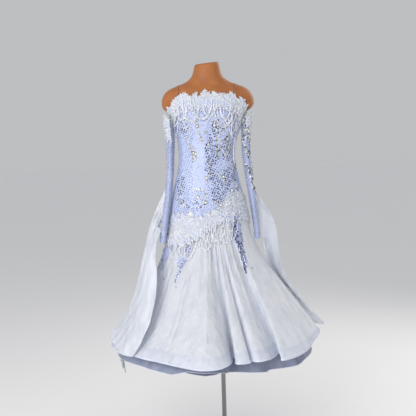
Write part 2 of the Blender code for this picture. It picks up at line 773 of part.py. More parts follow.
def skirt_grid(layer, steps, rows):
    """Columns along the hem and rows down the cloth, on the inner side of a skirt."""
    hem_angle, hem_radius, hem_height = hem_curve(layer, steps)
    start_angle = top_angles(hem_angle, hem_radius)
    t = np.asarray(rows, float)[None, :]
    side = 0.5 + 0.5 * np.sin(np.radians(hem_angle))[:, None]
    flare_left = 0.78 * t**1.1 + 0.22 * t**8
    flare_right = 0.5 * t**1.8 + 0.5 * smooth_step(t)
    flare = (1 - side) * flare_left + side * flare_right
    fold = t**FOLD_POWER
    angle = start_angle[:, None] + (hem_angle - start_angle)[:, None] * fold
    start_z = seam_height(start_angle)[:, None] - layer.start - (SEAM / 2 if layer.start == 0 else 0)
    z = start_z + (hem_height[:, None] - start_z) * t
    start_radius = torso_radius(start_angle[:, None], start_z)
    envelope = layer.envelope + layer.envelope_side * np.sin(np.radians(hem_angle))[:, None]
    swell = (envelope - start_radius) * flare
    folded = swell + (hem_radius[:, None] - envelope) * fold
    radius = start_radius + smooth_max(folded, FOLD_FLOOR * swell, 0.006 * t)
    return place(angle, radius, z)


def make_skirts(chiffon, net, satin):
    """Outer skirt in two halves with a bound hem, and two underskirts."""
    grid = skirt_grid(OUTER, OUTER.steps, OUTER.rows)
    normal = normals(grid, True)
    normal[:, 0] = around(grid[:, 0])
    inner = grid + normal * BODICE_GAP
    outer = grid + normal * (BODICE_GAP + SKIRT_WALL)
    count = len(grid)
    top = grid[:, 0]
    angle = np.degrees(np.arctan2(top[:, 0] - AXIS_X, -top[:, 1]))
    right = int(np.argmin(np.abs(angle - SIDE_SEAM)))
    left = int(np.argmin(np.abs(angle + SIDE_SEAM)))
    first = np.arange(left, left + (right - left) % count + 1) % count
    second = np.arange(right, right + (left - right) % count + 1) % count
    for name, picked in (("skirt_front", first), ("skirt_back", second)):
        ins, outs = inner[picked].copy(), outer[picked].copy()
        for side in (ins, outs):
            for end, beside in ((0, 1), (-1, -2)):
                step = side[beside] - side[end]
                side[end] += step / np.linalg.norm(step, axis=1, keepdims=True) * SEAM / 2
        wall(name, ins, outs, False, chiffon)
    hem = outer[:, -1]
    up = outer[:, -2] - hem
    up /= np.linalg.norm(up, axis=1, keepdims=True)
    flat = normal[:, -1]
    low = np.stack([hem + flat * LACE_GAP + up * BINDING_HEIGHT, hem + flat * LACE_GAP], axis=1)
    wall("hem_binding", low, low + flat[:, None] * BINDING_WALL, True, satin)
    for name, layer in (("underskirt_middle", MIDDLE), ("underskirt_inner", INNER)):
        layer_grid = skirt_grid(layer, layer.steps, layer.rows)
        cloth(name, layer_grid, layer.gap, CHIFFON_WALL, True, net)
    return outer


def sleeve_section(rows, side, share, turn, grow):
    """A point of a sleeve: share runs down it, turn goes round from the outer side.

    grow moves the point out of the cloth, across the section.
    """
    z_low, z_high = rows[-1].z, rows[0].z
    outward = np.cos(turn)
    top = z_high + SLEEVE_RISE * smooth_step(0.5 + 0.5 * outward)
    foot = z_low - CUFF_POINT * smooth_step(0.5 - 0.5 * np.sin(turn))
    z = top + (foot - top) * share
    keys = column(rows, "z")[::-1]
    out, y, half_width, half_depth = (
        smooth_table(z, keys, column(rows, name)[::-1]) for name in ("out", "y", "half_width", "half_depth")
    )
    x = axis_x(z) + side * (out + (half_width + grow) * outward)
    return np.stack(np.broadcast_arrays(x, y + (half_depth + grow) * np.sin(turn), z), axis=-1)


def make_sleeve(name, rows, side, look, lace):
    """A limp, open sleeve and the lace over the outside of its top."""
    turn = np.arange(SLEEVE_SIDES)[:, None] * math.tau / SLEEVE_SIDES
    share = np.array(SLEEVE_ROWS)[None, :]
    inner = sleeve_section(rows, side, share, turn, -CHIFFON_WALL)
    outer = sleeve_section(rows, side, share, turn, 0.0)
    wall(name, inner, outer, True, look)
    fan = np.radians(np.arange(-100, 101, 20.0))[:, None]
    tooth = np.where(np.arange(len(fan)) % 2 == 0, 1.0, 0.0)[:, None]
    top = SLEEVE_LACE_TOP - SLEEVE_LACE_TOOTH * tooth
    foot = SLEEVE_LACE_FOOT + 0.05 * tooth
    spread = top + (foot - top) * np.linspace(0, 1, SLEEVE_LACE_ROWS + 1)[None, :]
    low = sleeve_section(rows, side, spread, fan, SLEEVE_LACE_GAP)
    high = sleeve_section(rows, side, spread, fan, SLEEVE_LACE_GAP + LACE_WALL)
    wall(name + "_lace", low, high, False, lace)


def skirt_reach(angle, z, dense):
    """How far out the outer skirt reaches at an angle and a height."""
    height = np.clip(z, dense[..., 2].min(), seam_height(angle))
    near = np.abs((dense[..., 3] - angle + 180) % 360 - 180) < 4
    level = np.abs(dense[..., 2] - height) < 0.02
    found = near & level
    if not found.any():
        return float(torso_radius(angle, z)) + 0.006
    return float(dense[..., 4][found].max())


def dense_skirt():
    """The outer skirt on a fine grid: x, y, z, angle and radius of each point."""
    grid = skirt_grid(OUTER, 6, np.linspace(0, 1, 30))
    x = grid[..., 0] - AXIS_X
    angle = np.degrees(np.arctan2(x, -grid[..., 1]))
    radius = np.hypot(x, grid[..., 1]) + BODICE_GAP + SKIRT_WALL
    return np.concatenate([grid, angle[..., None], radius[..., None]], axis=-1)


def make_float(name, rows, sleeve, side, dense, look):
    """A chiffon float that hangs from the sleeve and lies over the skirt."""
    u = np.linspace(0, 1, FLOAT_COLUMNS)
    keys = column(rows, "u")
    from_turn, from_z, bend, end_angle, end_z, end_out = (
        smooth_table(u, keys, column(rows, field)) for field in FloatRow._fields[1:]
    )
    turn = np.radians(from_turn)
    z_keys = column(sleeve, "z")[::-1]
    out, y, half_width, half_depth = (
        smooth_table(from_z, z_keys, column(sleeve, field)[::-1])
        for field in ("out", "y", "half_width", "half_depth")
    )
    start_x = side * (out + (half_width + FLOAT_LIFT) * np.cos(turn))
    start_y = y + (half_depth + FLOAT_LIFT) * np.sin(turn)
    outline = column(FLOAT_OUTLINE, "left" if side < 0 else "right")
    outline_z = column(FLOAT_OUTLINE, "z")
    grid = np.zeros((FLOAT_COLUMNS, FLOAT_ROWS, 3))
    for i in range(FLOAT_COLUMNS):
        start_angle = math.degrees(math.atan2(start_x[i], -start_y[i]))
        start_radius = math.hypot(start_x[i], start_y[i])
        tail = end_z[i] < FLOAT_PAST_HEM
        for j in range(FLOAT_ROWS):
            v = j / (FLOAT_ROWS - 1)
            if tail and j < FLOAT_ROWS - 1:
                v = j / (FLOAT_ROWS - 2) * (from_z[i] - FLOAT_KNEE) / (from_z[i] - end_z[i])
            z = from_z[i] + (end_z[i] - from_z[i]) * v
            angle = start_angle * (1 - v) ** 2 + bend[i] * 2 * v * (1 - v) + end_angle[i] * v * v
            edge = float(smooth_table(z, outline_z, outline))
            share = edge / float(smooth_table(end_z[i], outline_z, outline))
            widest = edge * FLOAT_DEPTH_EASE / max(abs(math.sin(math.radians(angle))), FLOAT_LEAST_SINE)
            hang = max(min(end_out[i] * share, widest), start_radius)
            wave = FLOAT_FOLD_DEPTH * v * (0.5 + 0.5 * math.sin(math.tau * FLOAT_FOLDS * u[i] + 1.1 * v))
            low = FLOAT_PAST_HEM if tail and z <= FLOAT_KNEE else z
            reach = max(skirt_reach(angle, z, dense), skirt_reach(angle, low, dense)) + FLOAT_CLEAR
            free = float(smooth_step(v / FLOAT_RISE))
            radius = start_radius + (max(hang, reach) - start_radius) * free + wave
            grid[i, j] = place(angle, radius, z)
    if side > 0:
        grid = grid[::-1]
    cloth(name, grid, 0.0, CHIFFON_WALL, False, look)


def hip_edge(angle, name):
    turn = (np.asarray(angle, float) + 180) % 360 - 180
    return smooth_table(turn, column(HIP_LACE, "angle"), column(HIP_LACE, name))


def hip_radius(angle, z, dense):
    """The outside of the bodice above the seam, and of the skirt below it."""
    radius = bodice_radius(angle, z) + BODICE_GAP + BODICE_WALL
    if z < seam_height(angle) + 0.01:
        radius = max(radius, skirt_reach(angle, z, dense))
    return radius


def make_hip_lace(dense, look):
    """A ragged band of lace over the seam of bodice and skirt."""
    angles = np.arange(HIP_COLUMNS) * 360.0 / HIP_COLUMNS - 180
    tooth = np.where(np.arange(HIP_COLUMNS) % 2 == 0, HIP_TOOTH, -HIP_TOOTH)
    top = hip_edge(angles, "top") + tooth
    foot = hip_edge(angles, "bottom") + tooth * 0.8
    share = np.array([0.0, 0.4, 0.7, 1.0])
    grid = np.zeros((HIP_COLUMNS, len(share), 3))
    for i, angle in enumerate(angles):
        for j, s in enumerate(share):
            z = top[i] + (foot[i] - top[i]) * s
            grid[i, j] = place(angle, hip_radius(angle, z, dense), z)
    level_wall("hip_lace", grid, HIP_LACE_GAP, HIP_LACE_WALL, True, look)
    return grid


def lace_radius(angle, z, grid):
    """The hip lace's outside at an angle, on the flat facets between its columns."""
    step = 360.0 / HIP_COLUMNS
    low = math.floor((angle + 180) / step)
    share = (angle + 180) / step - low
    ends = []
    for c in (low % HIP_COLUMNS, (low + 1) % HIP_COLUMNS):
        radii = np.hypot(grid[c, ::-1, 0] - axis_x(grid[c, ::-1, 2]), grid[c, ::-1, 1])
        ends.append(float(np.interp(z, grid[c, ::-1, 2], radii)))
    return ends[0] + (ends[1] - ends[0]) * share + HIP_LACE_GAP + HIP_LACE_WALL


def make_yoke_points(outer, look):
    """Stoned points made from the skirt's own points, moved out."""
    normal = normals(outer, True)
    top = outer[:, 0]
    angle = np.degrees(np.arctan2(top[:, 0] - AXIS_X, -top[:, 1]))
    for row in YOKE_POINTS:
        picked = [c for c in range(len(outer)) if row.first <= angle[c] <= row.last]
        order = sorted(picked, key=lambda c: angle[c])
        grid = np.zeros((len(order), POINT_ROWS, 3))
        reach = np.zeros((len(order), POINT_ROWS, 3))
        for i, c in enumerate(order):
            start = float(hip_edge(angle[c], "bottom")) - HIP_TOOTH - 0.002
            edge = row.first if angle[c] < row.tip else row.last
            taper = abs(angle[c] - edge) / abs(row.tip - edge)
            end = start - 0.010 + (row.tip_z - start + 0.010) * taper**1.3
            for j in range(POINT_ROWS):
                z = start + (end - start) * j / (POINT_ROWS - 1)
                heights = outer[c, ::-1, 2]
                grid[i, j] = [np.interp(z, heights, outer[c, ::-1, k]) for k in range(3)]
                reach[i, j] = [np.interp(z, heights, normal[c, ::-1, k]) for k in range(3)]
        low = grid + reach * POINT_GAP
        wall(row.name, low, low + reach * CHIFFON_WALL, False, look)


def make_bead_strings(name, loops, first, last, strip_z, base, look):
    """A narrow strip with loops of beads that start and end in its lower edge.

    strip_z gives the strip's height at an angle, and base the radius of what
    the strings lie on at an angle and a height.
    """
    angles = np.arange(first, last + STRIP_STEP / 2, STRIP_STEP)
    vertices, faces = [], []
    for angle in angles:
        z = float(strip_z(angle))
        for height in (z + STRIP_HEIGHT, z):
            inner = base(angle, height) + BEAD_GAP
            vertices.append(place(angle, inner, height))
            vertices.append(place(angle, inner + STRIP_WALL, height))
    open_foot = {}
    for row in loops:
        for end in (row.first, row.last):
            open_foot[round((end - first) / STRIP_STEP)] = True
    for c in range(len(angles) - 1):
        a, b = 4 * c, 4 * (c + 1)
        faces.append((a, b, b + 1, a + 1))
        faces.append((a + 2, b + 2, b, a))
        faces.append((a + 1, b + 1, b + 3, a + 3))
        if c not in open_foot:
            faces.append((a + 3, b + 3, b + 2, a + 2))
    end = 4 * (len(angles) - 1)
    faces.append((0, 1, 3, 2))
    faces.append((end, end + 2, end + 3, end + 1))
    for row in loops:
        start = round((row.first - first) / STRIP_STEP)
        stop = round((row.last - first) / STRIP_STEP)
        add_loop(vertices, faces, angles, start, stop, row, strip_z, base)
    add_object(name, vertices, faces, look)


def loop_line(row, angles, start, stop, strip_z, base):
    """The middle of a loop: it hangs straight down from the fullest place above it."""
    shift = STRIP_STEP / 2
    line = []
    for k in range(LOOP_POINTS):
        s = 0.5 - 0.5 * math.cos(math.pi * k / (LOOP_POINTS - 1))
        angle = angles[start] + shift + (angles[stop] - angles[start]) * s
        hang = (4 * s * (1 - s)) ** 0.62
        top = float(strip_z(angle))
        z = top - 0.005 - row.drop * hang
        under = max(base(angle, h) for h in np.linspace(z, top, 6))
        out = under + BEAD_GAP + BEAD_RADIUS + 0.0006 + LOOP_LAYER * row.layer * min(1.0, hang * 1.8)
        line.append((angle, out, z))
    return line


def add_loop(vertices, faces, angles, start, stop, row, strip_z, base):
    line = loop_line(row, angles, start, stop, strip_z, base)
    centres = [place(*point) for point in line]
    root = 4 * start
    ring = [root + 2, root + 6, root + 7, root + 3]
    for k, centre in enumerate(centres):
        before = centres[k - 1] if k else centre + np.array([0, 0, 0.004])
        after = centres[k + 1] if k + 1 < len(centres) else centre + np.array([0, 0, 0.004])
        along = after - before
        along /= np.linalg.norm(along)
        a = math.radians(line[k][0])
        out = np.array([math.sin(a), -math.cos(a), 0.0])
        out -= along * float(out @ along)
        out /= np.linalg.norm(out)
        across = np.cross(out, along)
        first = len(vertices)
        for o, w in ((-1, -1), (-1, 1), (1, 1), (1, -1)):
            vertices.append(centre + (out * o + across * w) * BEAD_RADIUS)
        new = [first, first + 1, first + 2, first + 3]
        for m in range(4):
            n = (m + 1) % 4
            faces.append((ring[m], ring[n], new[n], new[m]))
        ring = new
    foot = 4 * stop
    last = [foot + 6, foot + 2, foot + 3, foot + 7]
    for m in range(4):
        n = (m + 1) % 4
        faces.append((ring[m], ring[n], last[n], last[m]))


def lace_tip(angle):
    """The top of the neckline lace at an angle."""
    if abs(angle) <= LACE_FRONT:
        return float(smooth_table(angle, column(LACE_TIPS, "angle"), column(LACE_TIPS, "height")))
    return float(bodice_top(angle)) + LACE_TIP_RISE + LACE_TOOTH


def strap_line(out):
    """A line over the shoulder at a fixed distance from the axis, from lace to lace."""
    keys = column(TORSO, "z")
    fine = np.linspace(TORSO[16].z, keys[-1], 400)
    summit = float(fine[smooth_table(fine, keys, column(TORSO, "half_width")) > abs(out)][-1])
    rise = np.sin(np.linspace(0, 0.5, 200) * math.pi)
    ends = []
    for facing in (-1, 1):
        z = TORSO[14].z
        for _ in range(8):
            half_width, front, back, _ = (float(v) for v in torso_size(z))
            y = facing * (front if facing < 0 else back) * math.sqrt(1 - (out / half_width) ** 2)
            angle = math.degrees(math.atan2(out, -y))
            z = max(lace_tip(angle + turn) for turn in (-3, 0, 3)) + STRAP_ABOVE_LACE
        ends.append(z)
    path = []
    front_heights = ends[0] + (summit - ends[0]) * rise
    back_heights = ends[1] + (summit - ends[1]) * rise
    for facing, heights in ((-1, front_heights), (1, back_heights[-2::-1])):
        for z in heights:
            half_width, front, back, _ = (float(v) for v in torso_size(z))
            depth = front if facing < 0 else back
            y = depth * math.sqrt(max(0.0, 1 - (out / half_width) ** 2))
            path.append((float(axis_x(z)) + out, facing * y, z))
    path = np.array(path)
    length = np.concatenate([[0], np.cumsum(np.linalg.norm(np.diff(path, axis=0), axis=1))])
    even = np.linspace(0, length[-1], STRAP_POINTS)
    return np.stack([np.interp(even, length, path[:, k]) for k in range(3)], axis=1)


def make_strap(name, out, look):
    """A narrow elastic strap over the shoulder, from the front lace to the back lace."""
    edges = np.stack([strap_line(out - STRAP_WIDTH / 2), strap_line(out + STRAP_WIDTH / 2)])
    across = edges[1] - edges[0]
    away = np.cross(np.gradient(edges.mean(axis=0), axis=0), across)
    away /= np.linalg.norm(away, axis=1, keepdims=True)
    if away[STRAP_POINTS // 2][2] < 0:
        away = -away
    wall(name, edges + away * STRAP_GAP, edges + away * (STRAP_GAP + STRAP_WALL), False, look)


def main():
    for obj in list(bpy.data.objects):
        bpy.data.objects.remove(obj, do_unlink=True)
    jersey = material("form_jersey", (0.56, 0.25, 0.11), 0.75)
    metal = material("pole_metal", (0.32, 0.32, 0.33), 0.3, 1.0)
    painted = material("base_paint", (0.05, 0.05, 0.05), 0.4)
    lycra = material("bodice_lycra", (0.62, 0.69, 0.93), 0.5)
    guipure = material("guipure_lace", (0.80, 0.82, 0.85), 0.7)
    chiffon = material("skirt_chiffon", (0.72, 0.75, 0.82), 0.6)
    net = material("underskirt_net", (0.42, 0.46, 0.60), 0.7)
    satin = material("hem_satin", (0.82, 0.85, 0.95), 0.3)
    beads = material("bead_strings", (0.82, 0.82, 0.84), 0.35)
    elastic = material("strap_elastic", (0.50, 0.22, 0.10), 0.7)

    make_form(jersey)
    make_stand(metal, painted)
    make_bodice(lycra)
    make_neckline_lace(guipure)
    outer = make_skirts(chiffon, net, satin)
    dense = dense_skirt()
    hip_lace = make_hip_lace(dense, guipure)
    make_yoke_points(outer, lycra)
    make_sleeve("sleeve_left", SLEEVE_LEFT, -1, lycra, guipure)
    make_sleeve("sleeve_right", SLEEVE_RIGHT, 1, lycra, guipure)
    make_float("float_left", FLOAT_LEFT, SLEEVE_LEFT, -1, dense, chiffon)
    make_float("float_right", FLOAT_RIGHT, SLEEVE_RIGHT, 1, dense, chiffon)

    lace_out = BODICE_GAP + BODICE_WALL + LACE_GAP + LACE_WALL

    def bust_base(angle, z):
        arm = LACE_ARM_GAP * math.exp(-(((abs(angle) - LACE_ARM_ANGLE) / LACE_ARM_SPREAD) ** 2))
        return bodice_radius(angle, z) + lace_out + arm

    def hip_base(angle, z):
        over_skirt = skirt_reach(angle, min(z, seam_height(angle)), dense) + POINT_GAP + CHIFFON_WALL
        return max(lace_radius(angle, z, hip_lace), over_skirt)

    make_bead_strings(
        "bust_bead_strings", BUST_LOOPS, -66, 78, lambda a: bodice_top(a) - BUST_STRIP_BELOW_EDGE, bust_base, beads
    )
    make_bead_strings(
        "hip_bead_strings", HIP_LOOPS, -60, 54, lambda a: hip_edge(a, "bottom") + HIP_STRIP_ABOVE_FOOT, hip_base, beads
    )
    make_strap("strap_left", STRAP_OUT_LEFT, elastic)
    make_strap("strap_right", STRAP_OUT_RIGHT, elastic)


main()
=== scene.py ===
"""Looks for a ballroom dance dress on its dress form and stand.

Every cloth piece starts from its packed wall, which is welded, smoothed and given its folds.
Lace leaves, stones, bead strings, rolled edges and stitches are set on those finished pieces.
Angles are in degrees round the torso's axis: 0 is the front and 90 the right of the front view.
"""

import json
import logging
import math
import random
from dataclasses import dataclass, field
from enum import Enum
from functools import cache

import bmesh
import bpy
import numpy as np
from mathutils import Matrix, Vector
from mathutils.bvhtree import BVHTree

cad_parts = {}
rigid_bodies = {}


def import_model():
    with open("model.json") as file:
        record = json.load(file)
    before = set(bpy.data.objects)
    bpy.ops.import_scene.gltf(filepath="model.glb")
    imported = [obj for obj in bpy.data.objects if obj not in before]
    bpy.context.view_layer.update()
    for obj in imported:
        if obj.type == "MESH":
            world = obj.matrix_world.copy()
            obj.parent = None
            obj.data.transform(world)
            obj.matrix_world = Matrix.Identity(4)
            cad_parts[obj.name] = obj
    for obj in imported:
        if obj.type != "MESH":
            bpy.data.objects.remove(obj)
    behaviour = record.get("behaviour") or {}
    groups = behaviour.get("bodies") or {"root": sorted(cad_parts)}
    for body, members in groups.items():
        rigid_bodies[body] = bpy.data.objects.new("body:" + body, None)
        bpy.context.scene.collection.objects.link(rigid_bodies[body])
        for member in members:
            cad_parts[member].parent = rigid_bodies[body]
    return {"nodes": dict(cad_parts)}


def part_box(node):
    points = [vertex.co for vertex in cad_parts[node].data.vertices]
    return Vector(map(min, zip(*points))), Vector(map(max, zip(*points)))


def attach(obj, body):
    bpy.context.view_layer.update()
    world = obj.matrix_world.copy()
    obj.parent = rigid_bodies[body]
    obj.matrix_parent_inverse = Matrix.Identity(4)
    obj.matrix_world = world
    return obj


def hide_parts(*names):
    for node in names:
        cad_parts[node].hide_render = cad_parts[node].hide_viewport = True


LOG = logging.getLogger("dress")
BODY = "root"

AXIS_X = -0.0443
AXIS_LEAN = 0.0110
LEAN_FROM = 1.255
LEAN_TO = 1.480
WELD = 0.00002
RIM_ANGLE = math.radians(68)
SHORT_RIM = 0.0027
SHARP_ANGLE = math.radians(35)
PAIR_FACE_ANGLE = 0.9
PAIR_SHAPE_ANGLE = 2.2

STITCH_STEP = 0.006
PIPING_STEP = 0.006
PIPING_SIDES = 7
BEAD_SPACING = 0.0042
BEAD_RADIUS = 0.0022
BEAD_SIZES = (0.86, 1.12)
LEAF_DENSITY = 60000.0
SPRAY_STEP = 0.0075
DOT_PITCH = 2.15
DOT_SLANT = math.radians(22)
VINE_STEP = 0.80

FRAME_PIXELS = 416
FOCAL_PIXELS = 790.7
CAMERA_AT = (-0.0456, -3.4, 1.30)
CAMERA_PITCH = 4.4
CAMERA_ROLL = 1.70
SENSOR = 36.0
FLOOR_HALF = 60.0
AIR_COLOR = (0.93, 0.94, 0.97, 1)
AIM_HEIGHT = 0.95


def axis_x(z: float) -> float:
    """The torso axis's x at a height."""
    return AXIS_X + AXIS_LEAN * min(max((z - LEAN_FROM) / (LEAN_TO - LEAN_FROM), 0.0), 1.0)


def smooth_step(t: np.ndarray | float) -> np.ndarray | float:
    """An eased 0 to 1 ramp."""
    t = np.clip(t, 0, 1)
    return t * t * (3 - 2 * t)


def polar(points: np.ndarray) -> tuple[np.ndarray, np.ndarray]:
    """Angles and radii of points round the torso's axis.

    Args:
        points: An array of x, y, z rows.

    Returns:
        The angles in degrees and the radii in metres.
    """
    shift = AXIS_X + AXIS_LEAN * np.clip((points[:, 2] - LEAN_FROM) / (LEAN_TO - LEAN_FROM), 0, 1)
    x = points[:, 0] - shift
    return np.degrees(np.arctan2(x, -points[:, 1])), np.hypot(x, points[:, 1])


def coordinates(mesh: bpy.types.Mesh) -> np.ndarray:
    """The mesh's vertices as an array of x, y, z rows."""
    co = np.zeros(len(mesh.vertices) * 3, np.float32)
    mesh.vertices.foreach_get("co", co)
    return co.reshape(-1, 3).astype(float)


def new_object(name: str, mesh: bpy.types.Mesh) -> bpy.types.Object:
    """Links a mesh to the scene as an object at the origin."""
    obj = bpy.data.objects.new(name, mesh)
    bpy.context.scene.collection.objects.link(obj)
    return obj


def mesh_from(name: str, vertices: list, faces: list, edges: list | None = None) -> bpy.types.Mesh:
    """A mesh from plain lists of vertices, faces and edges."""
    mesh = bpy.data.meshes.new(name)
    mesh.from_pydata([tuple(map(float, v)) for v in vertices], edges or [], faces)
    mesh.update()
    return mesh


def finished_mesh(obj: bpy.types.Object) -> bpy.types.Mesh:
    """The object's mesh with its modifiers worked in, which are then removed."""
    bpy.context.view_layer.update()
    graph = bpy.context.evaluated_depsgraph_get()
    mesh = bpy.data.meshes.new_from_object(obj.evaluated_get(graph), depsgraph=graph)
    obj.modifiers.clear()
    return mesh


def smoothed(obj: bpy.types.Object, levels: int) -> bpy.types.Mesh:
    """The object's mesh after some levels of smoothing."""
    smooth = obj.modifiers.new("smooth", "SUBSURF")
    smooth.levels = smooth.render_levels = levels
    return finished_mesh(obj)


def welded(node: str) -> bmesh.types.BMesh:
    """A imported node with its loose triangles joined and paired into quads."""
    bm = bmesh.new()
    bm.from_mesh(NODES[node].data)
    bmesh.ops.remove_doubles(bm, verts=bm.verts, dist=WELD)
    for face in bm.faces:
        face.smooth = True
    limits = {"angle_face_threshold": PAIR_FACE_ANGLE, "angle_shape_threshold": PAIR_SHAPE_ANGLE}
    bmesh.ops.join_triangles(bm, faces=bm.faces, **limits)
    return bm


# ---- finishes


class Shades:
    """A short way to build one material's node tree."""

    def __init__(self, name: str) -> None:
        """Starts a material with its shader.

        Args:
            name: The material's name.
        """
        self.material = bpy.data.materials.new(name)
        self.material.use_nodes = True
        self.nodes = self.material.node_tree.nodes
        self.links = self.material.node_tree.links
        self.shader = self.nodes["Principled BSDF"]
        self.place = self.nodes.new("ShaderNodeTexCoord").outputs["Object"]

    def add(self, kind: str, inputs: dict | None = None, **settings: object) -> bpy.types.Node:
        """Adds a node.

        Args:
            kind: The node's type.
            inputs: Values, or sockets to link from, by input name or number.
            **settings: The node's own properties.

        Returns:
            The new node.
        """
        node = self.nodes.new(kind)
        for key, value in settings.items():
            setattr(node, key, value)
        for key, value in (inputs or {}).items():
            if isinstance(value, bpy.types.NodeSocket):
                self.links.new(value, node.inputs[key])
            else:
                node.inputs[key].default_value = value
        return node

    def surface(self, **values: object) -> None:
        """Sets the shader's own sockets, with underscores for spaces."""
        for key, value in values.items():
            self.shader.inputs[key.replace("_", " ")].default_value = value

    def ramp(self, source: bpy.types.NodeSocket, stops: list[tuple[float, tuple]]) -> bpy.types.NodeSocket:
        """A colour ramp over a value.

        Args:
            source: The value.
            stops: Position and colour of each stop.

        Returns:
            The ramp's colour.
        """
        node = self.add("ShaderNodeValToRGB", {"Fac": source})
        elements = node.color_ramp.elements
        while len(elements) < len(stops):
            elements.new(0.5)
        for element, (position, color) in zip(elements, stops):
            element.position = position
            element.color = (*color, 1)
        return node.outputs["Color"]

    def color(self, source: bpy.types.NodeSocket) -> None:
        """Links a colour to the shader."""
        self.links.new(source, self.shader.inputs["Base Color"])

    def rough(self, source: bpy.types.NodeSocket, low: float, high: float) -> None:
        """Roughness that runs between two values with a pattern."""
        node = self.add("ShaderNodeMapRange", {"Value": source, "To Min": low, "To Max": high})
        self.links.new(node.outputs["Result"], self.shader.inputs["Roughness"])

    def bump(self, height: bpy.types.NodeSocket, distance: float, strength: float = 0.6) -> None:
        """Relief from a height pattern, over what is already there."""
        inputs = {"Height": height, "Distance": distance, "Strength": strength}
        socket = self.shader.inputs["Normal"]
        if socket.links:
            inputs["Normal"] = socket.links[0].from_socket
        node = self.add("ShaderNodeBump", inputs)
        self.links.new(node.outputs["Normal"], socket)

    def noise(self, scale: float, detail: float = 3.0, stretch: tuple | None = None) -> bpy.types.NodeSocket:
        """A noise pattern on object coordinates, stretched where asked."""
        vector = self.place
        if stretch:
            vector = self.add("ShaderNodeMapping", {"Vector": self.place, "Scale": stretch}).outputs["Vector"]
        return self.add("ShaderNodeTexNoise", {"Vector": vector, "Scale": scale, "Detail": detail}).outputs["Fac"]

    def weave(self, threads: float) -> bpy.types.NodeSocket:
        """Crossed threads: upright ones times level ones, threads to the metre."""
        waves = []
        for direction in ("X", "Z"):
            inputs = {"Vector": self.place, "Scale": threads / math.tau}
            node = self.add("ShaderNodeTexWave", inputs, bands_direction=direction)
            waves.append(node.outputs["Fac"])
        return self.add("ShaderNodeMath", {0: waves[0], 1: waves[1]}, operation="MULTIPLY").outputs["Value"]


@dataclass(frozen=True)
class ClothFinish:
    """Woven or knitted cloth.

    Attributes:
        name: The material's name.
        base: Its colour in linear values.
        shade: Its colour in the darker patches. On the chiffons, whose patches run long and upright, these darker
            patches are partly painted fold shade.
        alpha: How much it covers.
        rough: Its roughness.
        sheen: The weight of its sheen.
        threads: Threads to the metre.
        stretch: How its patches run: small values make them long that way.
        folds: Height of the fine upright folds in its relief.
        band: Whether it shows a stiffened band along the hem.
        glow: How much light runs through it.
    """

    name: str
    base: tuple
    shade: tuple
    alpha: float = 1.0
    rough: float = 0.7
    sheen: float = 0.25
    threads: float = 1800.0
    stretch: tuple = (1.0, 1.0, 0.25)
    folds: float = 0.0
    band: bool = False
    glow: float = 0.0

    def make(self) -> bpy.types.Material:
        """Builds the material."""
        s = Shades(self.name)
        # Darker patches of uneven tone; on the chiffons they run long and upright and are partly painted shade of fine
        # folds.
        patches = s.noise(26.0, 4.0, self.stretch)
        tint = s.ramp(patches, [(0.30, self.shade), (0.62, self.base)])
        s.rough(patches, self.rough - 0.06, self.rough + 0.06)
        if self.band:
            rise = s.add("ShaderNodeAttribute", attribute_name="hem_rise").outputs["Fac"]
            line = s.ramp(rise, [(0.010, (0.92, 0.94, 0.98)), (0.036, (0.85, 0.88, 0.95)), (0.044, (1.0, 1.0, 1.0))])
            mix = s.add("ShaderNodeMix", {0: 1.0, 6: tint, 7: line}, data_type="RGBA", blend_type="MULTIPLY")
            tint = mix.outputs[2]
            s.bump(s.ramp(rise, [(0.036, (0, 0, 0)), (0.040, (1, 1, 1)), (0.043, (0, 0, 0))]), 0.0012, 0.8)
        s.color(tint)
        s.bump(s.weave(self.threads), 0.0002, 0.35)
        s.bump(s.noise(140.0, 2.0, self.stretch), 0.0010, 0.30)
        if self.folds:
            s.bump(s.noise(42.0, 2.0, (1.0, 1.0, 0.06)), self.folds, 0.6)
        s.surface(Alpha=self.alpha, Sheen_Weight=self.sheen, Sheen_Roughness=0.4)
        if self.glow:
            s.surface(Subsurface_Weight=self.glow, Subsurface_Scale=0.03, Subsurface_Radius=(1.0, 1.0, 1.0))
        return s.material


@dataclass(frozen=True)
class LaceFinish:
    """Corded lace: pale cords in small rings, with the cloth under them in the gaps.

    Attributes:
        name: The material's name.
        cord: The cords' colour.
        ground: The colour in the gaps.
        cell: The size of a ring in metres.
    """

    name: str
    cord: tuple = (0.74, 0.76, 0.80)
    ground: tuple = (0.50, 0.57, 0.80)
    cell: float = 0.0085

    def make(self) -> bpy.types.Material:
        """Builds the material."""
        s = Shades(self.name)
        inputs = {"Vector": s.place, "Scale": 1 / self.cell, "Randomness": 0.75}
        cells = s.add("ShaderNodeTexVoronoi", inputs, feature="DISTANCE_TO_EDGE").outputs["Distance"]
        s.color(s.ramp(cells, [(0.07, self.cord), (0.15, self.ground)]))
        height = s.ramp(cells, [(0.05, (1, 1, 1)), (0.17, (0, 0, 0))])
        s.bump(height, 0.0012, 0.9)
        s.bump(s.noise(1500.0), 0.0003, 0.5)
        s.surface(Roughness=0.72, Sheen_Weight=0.15)
        return s.material


@dataclass(frozen=True)
class ThreadFinish:
    """Thread-covered leaves and stitches, with fine twist and a soft change of shade."""

    name: str
    base: tuple
    shade: tuple
    rough: float = 0.55

    def make(self) -> bpy.types.Material:
        """Builds the material."""
        s = Shades(self.name)
        s.color(s.ramp(s.noise(95.0, 4.0), [(0.35, self.shade), (0.6, self.base)]))
        s.bump(s.noise(2200.0, 2.0, (1.0, 1.0, 0.3)), 0.0004, 0.6)
        s.surface(Roughness=self.rough, Sheen_Weight=0.2)
        return s.material


